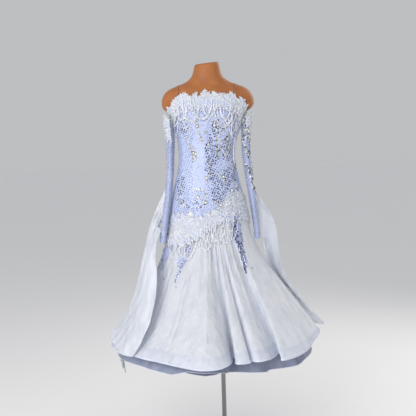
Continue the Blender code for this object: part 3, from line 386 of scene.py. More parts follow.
@dataclass(frozen=True)
class StoneFinish:
    """Cut glass with a foil back: glossy, with each stone a little different."""

    name: str
    base: tuple
    dark: tuple
    rough: float = 0.08
    metallic: float = 0.35
    scale: float = 160.0

    def make(self) -> bpy.types.Material:
        """Builds the material."""
        s = Shades(self.name)
        pattern = s.add("ShaderNodeTexVoronoi", {"Vector": s.place, "Scale": self.scale}).outputs["Color"]
        grey = s.add("ShaderNodeRGBToBW", {"Color": pattern}).outputs["Val"]
        s.color(s.ramp(grey, [(0.25, self.dark), (0.65, self.base)]))
        s.rough(grey, self.rough, self.rough + 0.12)
        s.surface(Metallic=self.metallic, Coat_Weight=0.7, Coat_Roughness=0.04)
        return s.material


@dataclass(frozen=True)
class MetalFinish:
    """Polished or painted metal with faint smears."""

    name: str
    base: tuple
    shade: tuple
    rough: float = 0.22
    metallic: float = 1.0

    def make(self) -> bpy.types.Material:
        """Builds the material."""
        s = Shades(self.name)
        smear = s.noise(18.0, 5.0, (1.0, 1.0, 0.15))
        s.color(s.ramp(smear, [(0.3, self.shade), (0.7, self.base)]))
        s.rough(smear, self.rough - 0.05, self.rough + 0.10)
        s.surface(Metallic=self.metallic)
        return s.material


FINISHES = {
    "jersey": ClothFinish(
        "jersey_tan", (0.41, 0.142, 0.036), (0.34, 0.112, 0.028), rough=0.6, sheen=0.1, stretch=(1, 1, 1),
    ),
    "lycra": ClothFinish("lycra_periwinkle", (0.53, 0.60, 0.84), (0.44, 0.50, 0.74), rough=0.5, sheen=0.3),
    # The skirt's long upright darker streaks are painted shade of its fine folds as well as uneven tone.
    "chiffon": ClothFinish(
        "chiffon_skirt", (0.87, 0.90, 0.97), (0.75, 0.79, 0.88), rough=0.72, stretch=(1.0, 1.0, 0.10),
        folds=0.017, band=True, glow=0.4,
    ),
    # The floats' long upright darker streaks are painted shade along their fine folds.
    "float": ClothFinish(
        "chiffon_float", (0.90, 0.93, 1.0), (0.70, 0.74, 0.84), alpha=0.74, rough=0.75,
        stretch=(1.4, 1.4, 0.07), folds=0.014, glow=0.3,
    ),
    "net": ClothFinish(
        "net_blue_grey", (0.36, 0.40, 0.54), (0.24, 0.28, 0.40), alpha=0.86, rough=0.8, threads=700.0,
        folds=0.006,
    ),
    "satin": ClothFinish(
        "satin_edge", (0.72, 0.76, 0.88), (0.64, 0.68, 0.82), rough=0.30, sheen=0.2, stretch=(1, 1, 3),
    ),
    "mesh": ClothFinish("stretch_mesh", (0.42, 0.48, 0.70), (0.33, 0.38, 0.58), alpha=0.97, rough=0.55),
    "guipure": LaceFinish("guipure_ground"),
    "leaf": ThreadFinish("guipure_leaf", (0.74, 0.76, 0.80), (0.56, 0.58, 0.63)),
    "stitch": ThreadFinish("sewing_thread", (0.60, 0.63, 0.72), (0.50, 0.53, 0.62)),
    "bead": StoneFinish("bead_pearl", (0.90, 0.91, 0.94), (0.66, 0.67, 0.72), rough=0.2, metallic=0.0),
    "crystal": StoneFinish("crystal_clear", (0.97, 0.95, 0.86), (0.62, 0.60, 0.50), metallic=0.2),
    "navy": StoneFinish("stone_navy", (0.06, 0.08, 0.17), (0.015, 0.02, 0.05), rough=0.12, metallic=0.5),
    "smoke": StoneFinish("stone_smoke", (0.52, 0.50, 0.43), (0.26, 0.25, 0.22), rough=0.15, metallic=0.2),
    "slate": StoneFinish("stone_slate", (0.24, 0.29, 0.45), (0.14, 0.17, 0.30), rough=0.2, metallic=0.2),
    "lavender": StoneFinish("sequin_lavender", (0.62, 0.66, 0.92), (0.34, 0.36, 0.58), rough=0.2, metallic=0.3),
    "yoke": ClothFinish("lycra_sequinned", (0.50, 0.56, 0.82), (0.38, 0.43, 0.66), rough=0.4, sheen=0.3),
    "elastic": ThreadFinish("elastic_nude", (0.34, 0.15, 0.065), (0.28, 0.12, 0.05)),
    "chrome": MetalFinish("steel_tube", (0.30, 0.30, 0.31), (0.20, 0.20, 0.21)),
    "base": MetalFinish("steel_base", (0.32, 0.32, 0.33), (0.24, 0.24, 0.25), rough=0.3),
    "setting": MetalFinish("stone_setting", (0.10, 0.10, 0.11), (0.05, 0.05, 0.06), rough=0.25),
}


class Wardrobe:
    """Makes each finish once and hands it out by name."""

    def __init__(self) -> None:
        """Starts with no material made."""
        self.made: dict[str, bpy.types.Material] = {}

    def get(self, name: str) -> bpy.types.Material:
        """The material of a finish.

        Args:
            name: A key of FINISHES.

        Returns:
            Its material.
        """
        if name not in self.made:
            self.made[name] = FINISHES[name].make()
        return self.made[name]


LOOKS = Wardrobe()


def settle(obj: bpy.types.Object, slot: str, *nodes: str) -> bpy.types.Object:
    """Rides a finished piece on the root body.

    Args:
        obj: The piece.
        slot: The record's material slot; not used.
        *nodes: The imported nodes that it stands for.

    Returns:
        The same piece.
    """
    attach(obj, BODY)
    if nodes:
        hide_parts(*nodes)
    LOG.info("%s: %d faces", obj.name, len(obj.data.polygons))
    return obj


# ---- geometry node trees


class Repeater:
    """Geometry node trees that set small things on points, surfaces and paths."""

    def start(self, name: str, inputs: dict[str, str]) -> tuple[bpy.types.NodeTree, bpy.types.Node]:
        """Opens a tree with named inputs.

        Args:
            name: The tree's name.
            inputs: Short socket type by input name, after the geometry.

        Returns:
            The tree and its input node.
        """
        tree = bpy.data.node_groups.new(name, "GeometryNodeTree")
        tree.interface.new_socket("Geometry", in_out="INPUT", socket_type="NodeSocketGeometry")
        for label, kind in inputs.items():
            tree.interface.new_socket(label, in_out="INPUT", socket_type="NodeSocket" + kind)
        tree.interface.new_socket("Geometry", in_out="OUTPUT", socket_type="NodeSocketGeometry")
        return tree, tree.nodes.new("NodeGroupInput")

    def close(self, tree: bpy.types.NodeTree, instances: bpy.types.NodeSocket, material: bpy.types.NodeSocket) -> None:
        """Ends a tree in Realize Instances and Set Material."""
        new, link = tree.nodes.new, tree.links.new
        real = new("GeometryNodeRealizeInstances")
        paint = new("GeometryNodeSetMaterial")
        out = new("NodeGroupOutput")
        link(instances, real.inputs["Geometry"])
        link(real.outputs["Geometry"], paint.inputs["Geometry"])
        link(material, paint.inputs["Material"])
        link(paint.outputs["Geometry"], out.inputs["Geometry"])

    @cache
    def setter(self) -> bpy.types.NodeTree:
        """The tree that sets a motif on points, by their facing, along and size attributes."""
        tree, given = self.start("set_motifs", {"Motif": "Object", "Scale": "Float", "Material": "Material"})
        new, link = tree.nodes.new, tree.links.new
        info = new("GeometryNodeObjectInfo")
        link(given.outputs["Motif"], info.inputs["Object"])
        read = {}
        for label, kind in (("facing", "FLOAT_VECTOR"), ("along", "FLOAT_VECTOR"), ("size", "FLOAT")):
            node = new("GeometryNodeInputNamedAttribute")
            node.data_type = kind
            node.inputs["Name"].default_value = label
            read[label] = node.outputs["Attribute"]
        upright = new("FunctionNodeAlignRotationToVector")
        upright.axis = "Z"
        link(read["facing"], upright.inputs["Vector"])
        turned = new("FunctionNodeAlignRotationToVector")
        turned.axis = "Y"
        turned.pivot_axis = "Z"
        link(upright.outputs["Rotation"], turned.inputs["Rotation"])
        link(read["along"], turned.inputs["Vector"])
        scale = new("ShaderNodeMath")
        scale.operation = "MULTIPLY"
        link(read["size"], scale.inputs[0])
        link(given.outputs["Scale"], scale.inputs[1])
        placed = new("GeometryNodeInstanceOnPoints")
        link(given.outputs["Geometry"], placed.inputs["Points"])
        link(info.outputs["Geometry"], placed.inputs["Instance"])
        link(turned.outputs["Rotation"], placed.inputs["Rotation"])
        link(scale.outputs["Value"], placed.inputs["Scale"])
        self.close(tree, placed.outputs["Instances"], given.outputs["Material"])
        return tree

    @cache
    def scatter(self) -> bpy.types.NodeTree:
        """The tree that scatters a motif over a surface, turned at random."""
        inputs = {
            "Motif": "Object", "Spacing": "Float", "Density": "Float", "Smallest": "Float",
            "Largest": "Float", "Seed": "Int", "Material": "Material",
        }
        tree, given = self.start("scatter_motifs", inputs)
        new, link = tree.nodes.new, tree.links.new
        info = new("GeometryNodeObjectInfo")
        link(given.outputs["Motif"], info.inputs["Object"])
        spread = new("GeometryNodeDistributePointsOnFaces")
        spread.distribute_method = "POISSON"
        link(given.outputs["Geometry"], spread.inputs["Mesh"])
        link(given.outputs["Spacing"], spread.inputs["Distance Min"])
        link(given.outputs["Density"], spread.inputs["Density Max"])
        link(given.outputs["Seed"], spread.inputs["Seed"])
        turn = new("FunctionNodeRandomValue")
        turn.inputs[3].default_value = math.tau
        link(given.outputs["Seed"], turn.inputs["Seed"])
        size = new("FunctionNodeRandomValue")
        link(given.outputs["Smallest"], size.inputs[2])
        link(given.outputs["Largest"], size.inputs[3])
        link(given.outputs["Seed"], size.inputs["Seed"])
        spin = new("FunctionNodeAxisAngleToRotation")
        link(turn.outputs[1], spin.inputs["Angle"])
        both = new("FunctionNodeRotateRotation")
        both.rotation_space = "LOCAL"
        link(spread.outputs["Rotation"], both.inputs["Rotation"])
        link(spin.outputs["Rotation"], both.inputs["Rotate By"])
        placed = new("GeometryNodeInstanceOnPoints")
        link(spread.outputs["Points"], placed.inputs["Points"])
        link(info.outputs["Geometry"], placed.inputs["Instance"])
        link(both.outputs["Rotation"], placed.inputs["Rotation"])
        link(size.outputs[1], placed.inputs["Scale"])
        self.close(tree, placed.outputs["Instances"], given.outputs["Material"])
        return tree

    @cache
    def beads(self) -> bpy.types.NodeTree:
        """The tree that threads beads on paths."""
        inputs = {"Spacing": "Float", "Radius": "Float", "Seed": "Int", "Material": "Material"}
        tree, given = self.start("thread_beads", inputs)
        new, link = tree.nodes.new, tree.links.new
        path = new("GeometryNodeMeshToCurve")
        even = new("GeometryNodeResampleCurve")
        even.mode = "LENGTH"
        ball = new("GeometryNodeMeshIcoSphere")
        ball.inputs["Subdivisions"].default_value = 1
        size = new("FunctionNodeRandomValue")
        size.inputs[2].default_value, size.inputs[3].default_value = BEAD_SIZES
        placed = new("GeometryNodeInstanceOnPoints")
        link(given.outputs["Geometry"], path.inputs["Mesh"])
        link(path.outputs["Curve"], even.inputs["Curve"])
        link(given.outputs["Spacing"], even.inputs["Length"])
        link(given.outputs["Radius"], ball.inputs["Radius"])
        link(given.outputs["Seed"], size.inputs["Seed"])
        link(even.outputs["Curve"], placed.inputs["Points"])
        link(ball.outputs["Mesh"], placed.inputs["Instance"])
        link(size.outputs[1], placed.inputs["Scale"])
        self.close(tree, placed.outputs["Instances"], given.outputs["Material"])
        return tree

    @cache
    def piping(self) -> bpy.types.NodeTree:
        """The tree that sweeps a round rolled edge along paths."""
        tree, given = self.start("sweep_piping", {"Radius": "Float", "Step": "Float", "Material": "Material"})
        new, link = tree.nodes.new, tree.links.new
        path = new("GeometryNodeMeshToCurve")
        even = new("GeometryNodeResampleCurve")
        even.mode = "LENGTH"
        ring = new("GeometryNodeCurvePrimitiveCircle")
        ring.inputs["Resolution"].default_value = PIPING_SIDES
        sweep = new("GeometryNodeCurveToMesh")
        link(given.outputs["Geometry"], path.inputs["Mesh"])
        link(path.outputs["Curve"], even.inputs["Curve"])
        link(given.outputs["Step"], even.inputs["Length"])
        link(given.outputs["Radius"], ring.inputs["Radius"])
        link(even.outputs["Curve"], sweep.inputs["Curve"])
        link(ring.outputs["Curve"], sweep.inputs["Profile Curve"])
        sweep.inputs["Fill Caps"].default_value = True
        self.close(tree, sweep.outputs["Mesh"], given.outputs["Material"])
        return tree

    def run(
        self, name: str, tree: bpy.types.NodeTree, source: bpy.types.Mesh, finish: str, **inputs: object
    ) -> bpy.types.Object:
        """Runs a tree on a mesh and keeps its result as a plain piece.

        Args:
            name: The piece's name.
            tree: The tree.
            source: The mesh that the tree reads.
            finish: The piece's finish.
            **inputs: The tree's inputs, by name.

        Returns:
            The piece.
        """
        carrier = new_object("carrier_" + name, source)
        modifier = carrier.modifiers.new("repeat", "NODES")
        modifier.node_group = tree
        inputs["Material"] = LOOKS.get(finish)
        sockets = {s.name: s.identifier for s in tree.interface.items_tree if s.in_out == "INPUT"}
        for label, value in inputs.items():
            modifier[sockets[label]] = value
        mesh = finished_mesh(carrier)
        mesh.name = name
        bpy.data.objects.remove(carrier)
        if not mesh.materials:
            mesh.materials.append(LOOKS.get(finish))
        return new_object(name, mesh)


REPEAT = Repeater()


# ---- cloth


@dataclass(frozen=True)
class Trough:
    """A soft trough or ridge down the cloth.

    Attributes:
        top: Its angle at the top.
        foot: Its angle at the bottom.
        z_top: Where it starts.
        z_foot: Where it ends.
        depth: How far it pushes in, or out where it is below zero.
        width: Half its width in metres.
    """

    top: float
    foot: float
    z_top: float
    z_foot: float
    depth: float
    width: float

    def push(self, angle: np.ndarray, radius: np.ndarray, z: np.ndarray) -> np.ndarray:
        """How far points move out along their radius.

        Args:
            angle: Their angles.
            radius: Their radii.
            z: Their heights.

        Returns:
            The move of each, in metres.
        """
        t = np.clip((self.z_top - z) / (self.z_top - self.z_foot), 0, 1)
        centre = self.top + (self.foot - self.top) * t
        away = np.radians((angle - centre + 180) % 360 - 180) * radius
        fade = smooth_step(t / 0.35) * smooth_step((z - self.z_foot + 0.03) / 0.03)
        return -self.depth * np.exp(-((away / self.width) ** 2)) * fade


@dataclass
class ClothPiece:
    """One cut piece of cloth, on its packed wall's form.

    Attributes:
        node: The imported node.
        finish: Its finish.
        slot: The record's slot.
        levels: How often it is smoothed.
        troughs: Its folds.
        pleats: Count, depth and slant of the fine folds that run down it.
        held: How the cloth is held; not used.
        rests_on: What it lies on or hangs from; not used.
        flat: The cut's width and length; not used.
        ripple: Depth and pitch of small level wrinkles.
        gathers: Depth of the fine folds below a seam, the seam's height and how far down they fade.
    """

    node: str
    finish: str
    slot: str
    levels: int = 2
    troughs: tuple[Trough, ...] = ()
    pleats: tuple[float, float, float] | None = None
    held: str = "hung"
    rests_on: tuple[str, ...] = ("dress_form_jersey",)
    flat: tuple[float, float] = (1.0, 1.0)
    ripple: tuple[float, float] | None = None
    gathers: tuple[float, float, float] | None = None
    obj: bpy.types.Object = field(init=False, default=None)
    loops: list[np.ndarray] = field(init=False, default_factory=list)

    def wall(self) -> bmesh.types.BMesh:
        """The node's welded wall, with its faces turned outwards."""
        bm = welded(self.node)
        bmesh.ops.recalc_face_normals(bm, faces=bm.faces)
        if bm.calc_volume(signed=True) < 0:
            bmesh.ops.reverse_faces(bm, faces=bm.faces)
        return bm

    def crease_rims(self, bm: bmesh.types.BMesh) -> None:
        """Marks the wall's rims so that smoothing keeps them, and keeps their loops."""
        layer = bm.edges.layers.float.new("crease_edge")
        rims = []
        for edge in bm.edges:
            if len(edge.link_faces) == 2 and edge.calc_face_angle(0.0) > RIM_ANGLE:
                edge[layer] = 1.0
                edge.smooth = False
                if edge.calc_length() > SHORT_RIM:
                    rims.append(edge)
        self.loops = walk_loops(rims)

    def displaced(self, points: np.ndarray) -> np.ndarray:
        """The points after the folds have moved them out or in.

        Args:
            points: Their places on the smooth wall.

        Returns:
            Their places on the folded wall.
        """
        angle, radius = polar(points)
        move = np.zeros(len(points))
        for trough in self.troughs:
            move += trough.push(angle, radius, points[:, 2])
        if self.pleats:
            move += self.pleat_push(angle, points[:, 2])
        if self.gathers:
            depth, seam, reach = self.gathers
            turn = np.radians(angle)
            down = np.clip((seam - points[:, 2]) / reach, 0, 1)
            wave = np.sin(turn * 41 + 1.3 * np.sin(turn * 5)) + 0.7 * np.sin(turn * 26 + 2.0)
            wave += 0.5 * np.sin(turn * 67 + 3 * down)
            uneven = 0.55 + 0.45 * np.sin(turn * 3.0 + 0.8)
            move += depth * wave * uneven * smooth_step(down / 0.12) * (1 - smooth_step(down)) ** 0.7
        if self.ripple:
            depth, pitch = self.ripple
            z = points[:, 2] + 0.004 * np.sin(np.radians(angle) * 9)
            fade = 0.5 + 0.5 * np.sin(z * 21 + np.radians(angle) * 3)
            move += depth * fade * np.sin(math.tau * z / pitch + np.radians(angle) * 5)
        turn = np.radians(angle)
        out = points.copy()
        out[:, 0] += np.sin(turn) * move
        out[:, 1] -= np.cos(turn) * move
        return out

    def pleat_push(self, angle: np.ndarray, z: np.ndarray) -> np.ndarray:
        """Fine uneven folds that fan out from the piece's top to its foot."""
        count, depth, slant = self.pleats
        turn = angle % 360
        bins = np.linspace(z.min(), z.max(), 14)
        low, high = [], []
        for a, b in zip(bins[:-1], bins[1:]):
            near = turn[(z >= a - 0.03) & (z <= b + 0.03)]
            low.append(near.min())
            high.append(near.max())
        middle = (bins[:-1] + bins[1:]) / 2
        left, right = np.interp(z, middle, low), np.interp(z, middle, high)
        share = (turn - left) / np.maximum(right - left, 1.0)
        down = (z.max() - z) / (z.max() - z.min())
        drift = share + 0.045 * np.sin(math.tau * (1.3 * share + 0.5 * down))
        drift += 0.03 * np.sin(math.tau * (2.9 * share - 0.4 * down) + 2.0)
        wave = np.sin(math.tau * (count * drift + slant * down))
        wave += 0.45 * np.sin(math.tau * (count * 1.9 * drift - 0.4 * down) + 1.2)
        swell = 0.62 + 0.38 * np.sin(math.tau * (1.7 * share - 0.6 * down) + 0.7)
        return depth * swell * (0.5 + 0.5 * wave) * smooth_step(down / 0.25)

    def make(self) -> bpy.types.Object:
        """Builds the piece and rides it.

        Returns:
            The piece.
        """
        bm = self.wall()
        self.crease_rims(bm)
        mesh = bpy.data.meshes.new(self.node + "_cloth")
        bm.to_mesh(mesh)
        bm.free()
        obj = new_object(self.node + "_cloth", mesh)
        fine = smoothed(obj, self.levels)
        obj.data = fine
        bpy.data.meshes.remove(mesh)
        count = len(fine.vertices)
        moved = self.displaced(np.concatenate([coordinates(fine), *self.loops]))
        fine.vertices.foreach_set("co", moved[:count].astype(np.float32).ravel())
        fine.update()
        fine.materials.clear()
        fine.materials.append(LOOKS.get(self.finish))
        ends = np.cumsum([len(loop) for loop in self.loops])[:-1]
        self.loops = np.split(moved[count:], ends)
        self.obj = obj
        settle(obj, self.slot, self.node)
        return obj

    def mark_hem(self, hem: np.ndarray) -> None:
        """Stores how high each vertex is above the hem, for the stiffened band.

        Args:
            hem: The hem's path.
        """
        angles = polar(hem)[0]
        order = np.argsort(angles)
        points = coordinates(self.obj.data)
        foot = np.interp(polar(points)[0], angles[order], hem[order, 2], period=360)
        layer = self.obj.data.attributes.new("hem_rise", "FLOAT", "POINT")
        layer.data.foreach_set("value", (points[:, 2] - foot).astype(np.float32))

    def rim(self, where: "Rim") -> np.ndarray:
        """The outer edge of one of the wall's rims as a closed path.

        Args:
            where: Its upper or its lower rim.

        Returns:
            The path's points.
        """
        found = sorted(self.loops, key=lambda loop: loop[:, 2].mean(), reverse=where is Rim.UPPER)
        found = found[:2] if len(found) >= 4 else found
        return sorted(found, key=lambda loop: polar(loop)[1].mean(), reverse=True)[0]


class Rim(Enum):
    """The upper or the lower rim of a piece of cloth."""

    UPPER = "upper"
    LOWER = "lower"


def walk_loops(edges: list) -> list[np.ndarray]:
    """Edges joined end to end into paths.

    Args:
        edges: The edges of a mesh in editing.

    Returns:
        The points of each path.
    """
    links: dict = {}
    for edge in edges:
        a, b = edge.verts
        links.setdefault(a.index, []).append(b.index)
        links.setdefault(b.index, []).append(a.index)
    place = {v.index: v.co.copy() for edge in edges for v in edge.verts}
    left = set(links)
    loops = []
    while left:
        start = min(left)
        chain = [start]
        left.discard(start)
        while True:
            ahead = [n for n in links[chain[-1]] if n in left]
            if not ahead:
                break
            chain.append(ahead[0])
            left.discard(ahead[0])
        if len(chain) > 4:
            loops.append(np.array([place[i][:] for i in chain], float))
    return loops


def path_mesh(name: str, paths: list[np.ndarray], closed: bool) -> bpy.types.Mesh:
    """A mesh of bare edges along paths."""
    vertices, edges = [], []
    for path in paths:
        first = len(vertices)
        vertices.extend(path)
        edges.extend((first + k, first + k + 1) for k in range(len(path) - 1))
        if closed:
            edges.append((first + len(path) - 1, first))
    return mesh_from(name, vertices, [], edges)


def even_path(path: np.ndarray, step: float, closed: bool = False) -> np.ndarray:
    """A path's points at an even distance.

    Args:
        path: The path.
        step: The distance.
        closed: Whether it runs back to its start.

    Returns:
        The new points.
    """
    points = np.concatenate([path, path[:1]]) if closed else path
    gaps = np.linalg.norm(np.diff(points, axis=0), axis=1)
    at = np.concatenate([[0], np.cumsum(gaps)])
    count = max(2, int(round(at[-1] / step)) + 1)
    keys = np.linspace(0, at[-1], count)
    if closed:
        keys = keys[:-1]
    return np.stack([np.interp(keys, at, points[:, k]) for k in range(3)], axis=1)


class Skin:
    """The outside of finished pieces, on which small things are set."""

    def __init__(self, objects: list[bpy.types.Object]) -> None:
        """Reads the pieces' shapes.

        Args:
            objects: The pieces.
        """
        vertices, faces = [], []
        for obj in objects:
            first = len(vertices)
            vertices.extend(v.co.copy() for v in obj.data.vertices)
            faces.extend([first + i for i in p.vertices] for p in obj.data.polygons)
        self.tree = BVHTree.FromPolygons(vertices, faces)

    def at(self, angle: float, z: float, reach: float = 0.8) -> tuple[Vector, Vector] | None:
        """The outermost point at an angle and a height.

        Args:
            angle: The angle.
            z: The height.
            reach: Where the ray starts, from the axis.

        Returns:
            The point and the surface's normal, or None.
        """
        a = math.radians(angle)
        out = Vector((math.sin(a), -math.cos(a), 0.0))
        start = Vector((axis_x(z), 0.0, z)) + out * reach
        point, normal, _, _ = self.tree.ray_cast(start, -out, reach)
        if point is None:
            return None
        return point, normal if normal.dot(out) > 0 else -normal

    def seen(self, px: float, py: float) -> tuple[Vector, Vector] | None:
        """The point that the camera sees at a pixel of its frame.

        Args:
            px: Pixels from the left.
            py: Pixels from the top.

        Returns:
            The point and the surface's normal, or None.
        """
        right, up, back = VIEW.axes()
        half = FRAME_PIXELS / 2
        ray = (right * (px - half) - up * (py - half) - back * FOCAL_PIXELS).normalized()
        point, normal, _, _ = self.tree.ray_cast(Vector(CAMERA_AT), ray, 10.0)
        if point is None:
            return None
        return point, normal if normal.dot(ray) < 0 else -normal

    def nearest(self, place: np.ndarray) -> tuple[Vector, Vector]:
        """The nearest point of the pieces, and its outward normal."""
        point, normal, _, _ = self.tree.find_nearest(Vector(place))
        out = Vector((point.x - axis_x(point.z), point.y, 0.0))
        return point, normal if normal.dot(out) > 0 else -normal


@dataclass
class Studio:
    """Camera, lights and floor.

    Attributes:
        key: Power of the light from the front left.
        fill: Power of the light from the front right.
        back: Power of the light from behind on the right.
        world: Strength of the even light all round.
        haze: How bright the air looks beside that, so that it meets the far floor.
    """

    key: float = 74.0
    fill: float = 2.0
    back: float = 30.0
    world: float = 0.62
    haze: float = 0.89

    def axes(self) -> tuple[Vector, Vector, Vector]:
        """The camera's right, up and back directions."""
        pitch, roll = math.radians(CAMERA_PITCH), math.radians(CAMERA_ROLL)
        right, up = Vector((1, 0, 0)), Vector((0, math.sin(pitch), math.cos(pitch)))
        back = Vector((0, -math.cos(pitch), math.sin(pitch)))
        return right * math.cos(roll) - up * math.sin(roll), right * math.sin(roll) + up * math.cos(roll), back

    def pixel(self, place: Vector) -> tuple[float, float]:
        """The pixel of its frame at which the camera sees a point."""
        right, up, back = self.axes()
        away = place - Vector(CAMERA_AT)
        depth = -away.dot(back)
        half = FRAME_PIXELS / 2
        return half + FOCAL_PIXELS * away.dot(right) / depth, half - FOCAL_PIXELS * away.dot(up) / depth

    def camera(self) -> None:
        """Makes the camera at the photo's viewing angle."""
        data = bpy.data.cameras.new("view")
        data.sensor_width = SENSOR
        data.lens = FOCAL_PIXELS / FRAME_PIXELS * SENSOR
        obj = bpy.data.objects.new("view", data)
        bpy.context.scene.collection.objects.link(obj)
        right, up, back = self.axes()
        turn = Matrix((right, up, back)).transposed().to_4x4()
        obj.matrix_world = Matrix.Translation(CAMERA_AT) @ turn
        bpy.context.scene.camera = obj

    def lamp(self, name: str, place: tuple, power: float, size: float, tint: tuple) -> None:
        """A square soft light that faces the dress."""
        data = bpy.data.lights.new(name, "AREA")
        data.energy, data.size, data.color = power, size, tint
        obj = bpy.data.objects.new(name, data)
        bpy.context.scene.collection.objects.link(obj)
        obj.location = place
        obj.rotation_euler = (Vector(place) - Vector((AXIS_X, 0, AIM_HEIGHT))).to_track_quat("Z", "Y").to_euler()

    def make(self) -> None:
        """Builds the whole studio."""
        self.camera()
        self.lamp("light_key", (-1.5, -2.95, 2.0), self.key, 2.2, (1.0, 0.985, 0.96))
        self.lamp("light_fill", (2.2, -2.4, 1.3), self.fill, 1.8, (0.95, 0.97, 1.0))
        self.lamp("light_back", (1.7, 1.6, 2.4), self.back, 1.2, (1.0, 0.96, 0.92))
        world = bpy.data.worlds.new("studio_air")
        world.use_nodes = True
        nodes, links = world.node_tree.nodes, world.node_tree.links
        light, seen = nodes["Background"], nodes.new("ShaderNodeBackground")
        ray, mix = nodes.new("ShaderNodeLightPath"), nodes.new("ShaderNodeMixShader")
        for air, strength in ((light, self.world), (seen, self.world * self.haze)):
            air.inputs["Color"].default_value = AIR_COLOR
            air.inputs["Strength"].default_value = strength
        links.new(ray.outputs["Is Camera Ray"], mix.inputs[0])
        links.new(light.outputs[0], mix.inputs[1])
        links.new(seen.outputs[0], mix.inputs[2])
        links.new(mix.outputs[0], nodes["World Output"].inputs["Surface"])
        bpy.context.scene.world = world
        corners = [(x * FLOOR_HALF, y * FLOOR_HALF, 0) for x, y in ((-1, -1), (1, -1), (1, 1), (-1, 1))]
        floor = new_object("studio_floor", mesh_from("studio_floor", corners, [(0, 1, 2, 3)]))
        shades = Shades("studio_floor")
        shades.color(shades.ramp(shades.noise(3.0), [(0.3, (0.87, 0.87, 0.87)), (0.7, (0.88, 0.88, 0.88))]))
        shades.surface(Roughness=0.8)
        floor.data.materials.append(shades.material)


VIEW = Studio()


# ---- motifs

LOW_CUT = [(0.5, 0.0), (0.42, 0.25), (0.2, 0.36)]
HIGH_CUT = [(0.5, 0.0), (0.46, 0.2), (0.26, 0.36)]
CRYSTAL_CUT = [(0.50, 0.10), (0.48, 0.22), (0.30, 0.36), (0.26, 0.37)]
CUP_CUT = [(0.62, 0.0), (0.63, 0.14), (0.56, 0.17)]
ONYX_CUT = [(0.5, 0.0), (0.44, 0.25), (0.24, 0.36)]
SEQUIN_CUT = [(0.5, 0.0), (0.5, 0.10), (0.16, 0.05)]
STITCH_CUT = [(0.5, 0.0), (0.42, 0.28), (0.2, 0.4)]
SLIDER_CUT = [(0.50, 0.0), (0.50, 0.30), (0.30, 0.42)]


def dome(sides: int, rings: list[tuple[float, float]]) -> bpy.types.Mesh:
    """A turned solid: rings of radius and height from its flat back to its flat top."""
    vertices, faces = [], []
    for radius, height in rings:
        for k in range(sides):
            a = math.tau * k / sides
            vertices.append((radius * math.cos(a), radius * math.sin(a), height))
    for r in range(len(rings) - 1):
        for k in range(sides):
            n = (k + 1) % sides
            faces.append((r * sides + k, r * sides + n, (r + 1) * sides + n, (r + 1) * sides + k))
    faces.append(tuple(range(sides))[::-1])
    faces.append(tuple((len(rings) - 1) * sides + k for k in range(sides)))
    return mesh_from("stone", vertices, faces)


def leaf() -> bpy.types.Mesh:
    """A thread-covered leaf one unit long, raised along its middle, cupped at its tip."""
    rows = [
        (0.0, 0.05, 0.03), (0.18, 0.17, 0.13), (0.42, 0.24, 0.20), (0.68, 0.18, 0.19), (0.88, 0.09, 0.13),
        (1.0, 0.02, 0.06),
    ]
    vertices, faces = [], []
    for y, half, high in rows:
        for x, lift in ((-half, 0.02), (-half * 0.55, high), (0.0, high * 0.72), (half * 0.55, high), (half, 0.02)):
            vertices.append((x, y - 0.15, lift))
    count = len(vertices)
    vertices.extend((x, y, 0.0) for x, y, _ in vertices[:count])
    for r in range(len(rows) - 1):
        for k in range(4):
            a, b, c, d = r * 5 + k, r * 5 + k + 1, (r + 1) * 5 + k + 1, (r + 1) * 5 + k
            faces.append((a, b, c, d))
        for k in (0, 4):
            a, d = r * 5 + k, (r + 1) * 5 + k
            side = (a, d, count + d, count + a)
            faces.append(side if k == 0 else side[::-1])
        faces.append((count + r * 5, count + (r + 1) * 5, count + (r + 1) * 5 + 4, count + r * 5 + 4))
    faces.append((0, count, count + 4, 4, 3, 2, 1))
    last = (len(rows) - 1) * 5
    faces.append((last, last + 1, last + 2, last + 3, last + 4, count + last + 4, count + last))
    mesh = mesh_from("leaf", vertices, faces)
    bm = bmesh.new()
    bm.from_mesh(mesh)
    loose = [v for v in bm.verts if not v.link_faces]
    bmesh.ops.delete(bm, geom=loose, context="VERTS")
    bmesh.ops.recalc_face_normals(bm, faces=bm.faces)
    for face in bm.faces:
        face.smooth = True
    bm.to_mesh(mesh)
    bm.free()
    return mesh


@dataclass
class Setting:
    """A set of one motif, each with its place, facing, direction and size.

    Attributes:
        name: The piece's name.
        motif: The motif's mesh.
        finish: Its finish.
        slot: The record's slot.
        lift: How far the motif sits above the surface.
    """

    name: str
    motif: bpy.types.Mesh
    finish: str
    slot: str
    lift: float = 0.0002
    places: list = field(default_factory=list)

    def put(self, point: Vector, normal: Vector, size: float, along: Vector | None = None) -> None:
        """Adds one motif.

        Args:
            point: Its place on the surface.
            normal: The surface's normal.
            size: Its size in metres.
            along: The way its length points.
        """
        self.places.append((point + normal * self.lift, normal, along or Vector((0, 0, 1)), size))

    def make(self) -> bpy.types.Object:
        """Sets all the motifs as one piece."""
        mesh = mesh_from(self.name, [p[0] for p in self.places], [])
        for label, kind, index in (("facing", "FLOAT_VECTOR", 1), ("along", "FLOAT_VECTOR", 2), ("size", "FLOAT", 3)):
            layer = mesh.attributes.new(label, kind, "POINT")
            values = np.array([p[index] for p in self.places], np.float32).ravel()
            layer.data.foreach_set("value" if kind == "FLOAT" else "vector", values)
        motif = new_object("motif_" + self.name, self.motif)
        obj = REPEAT.run(self.name, REPEAT.setter(), mesh, self.finish, Motif=motif, Scale=1.0)
        bpy.data.objects.remove(motif)
        return settle(obj, self.slot)


# ---- the sub-assemblies


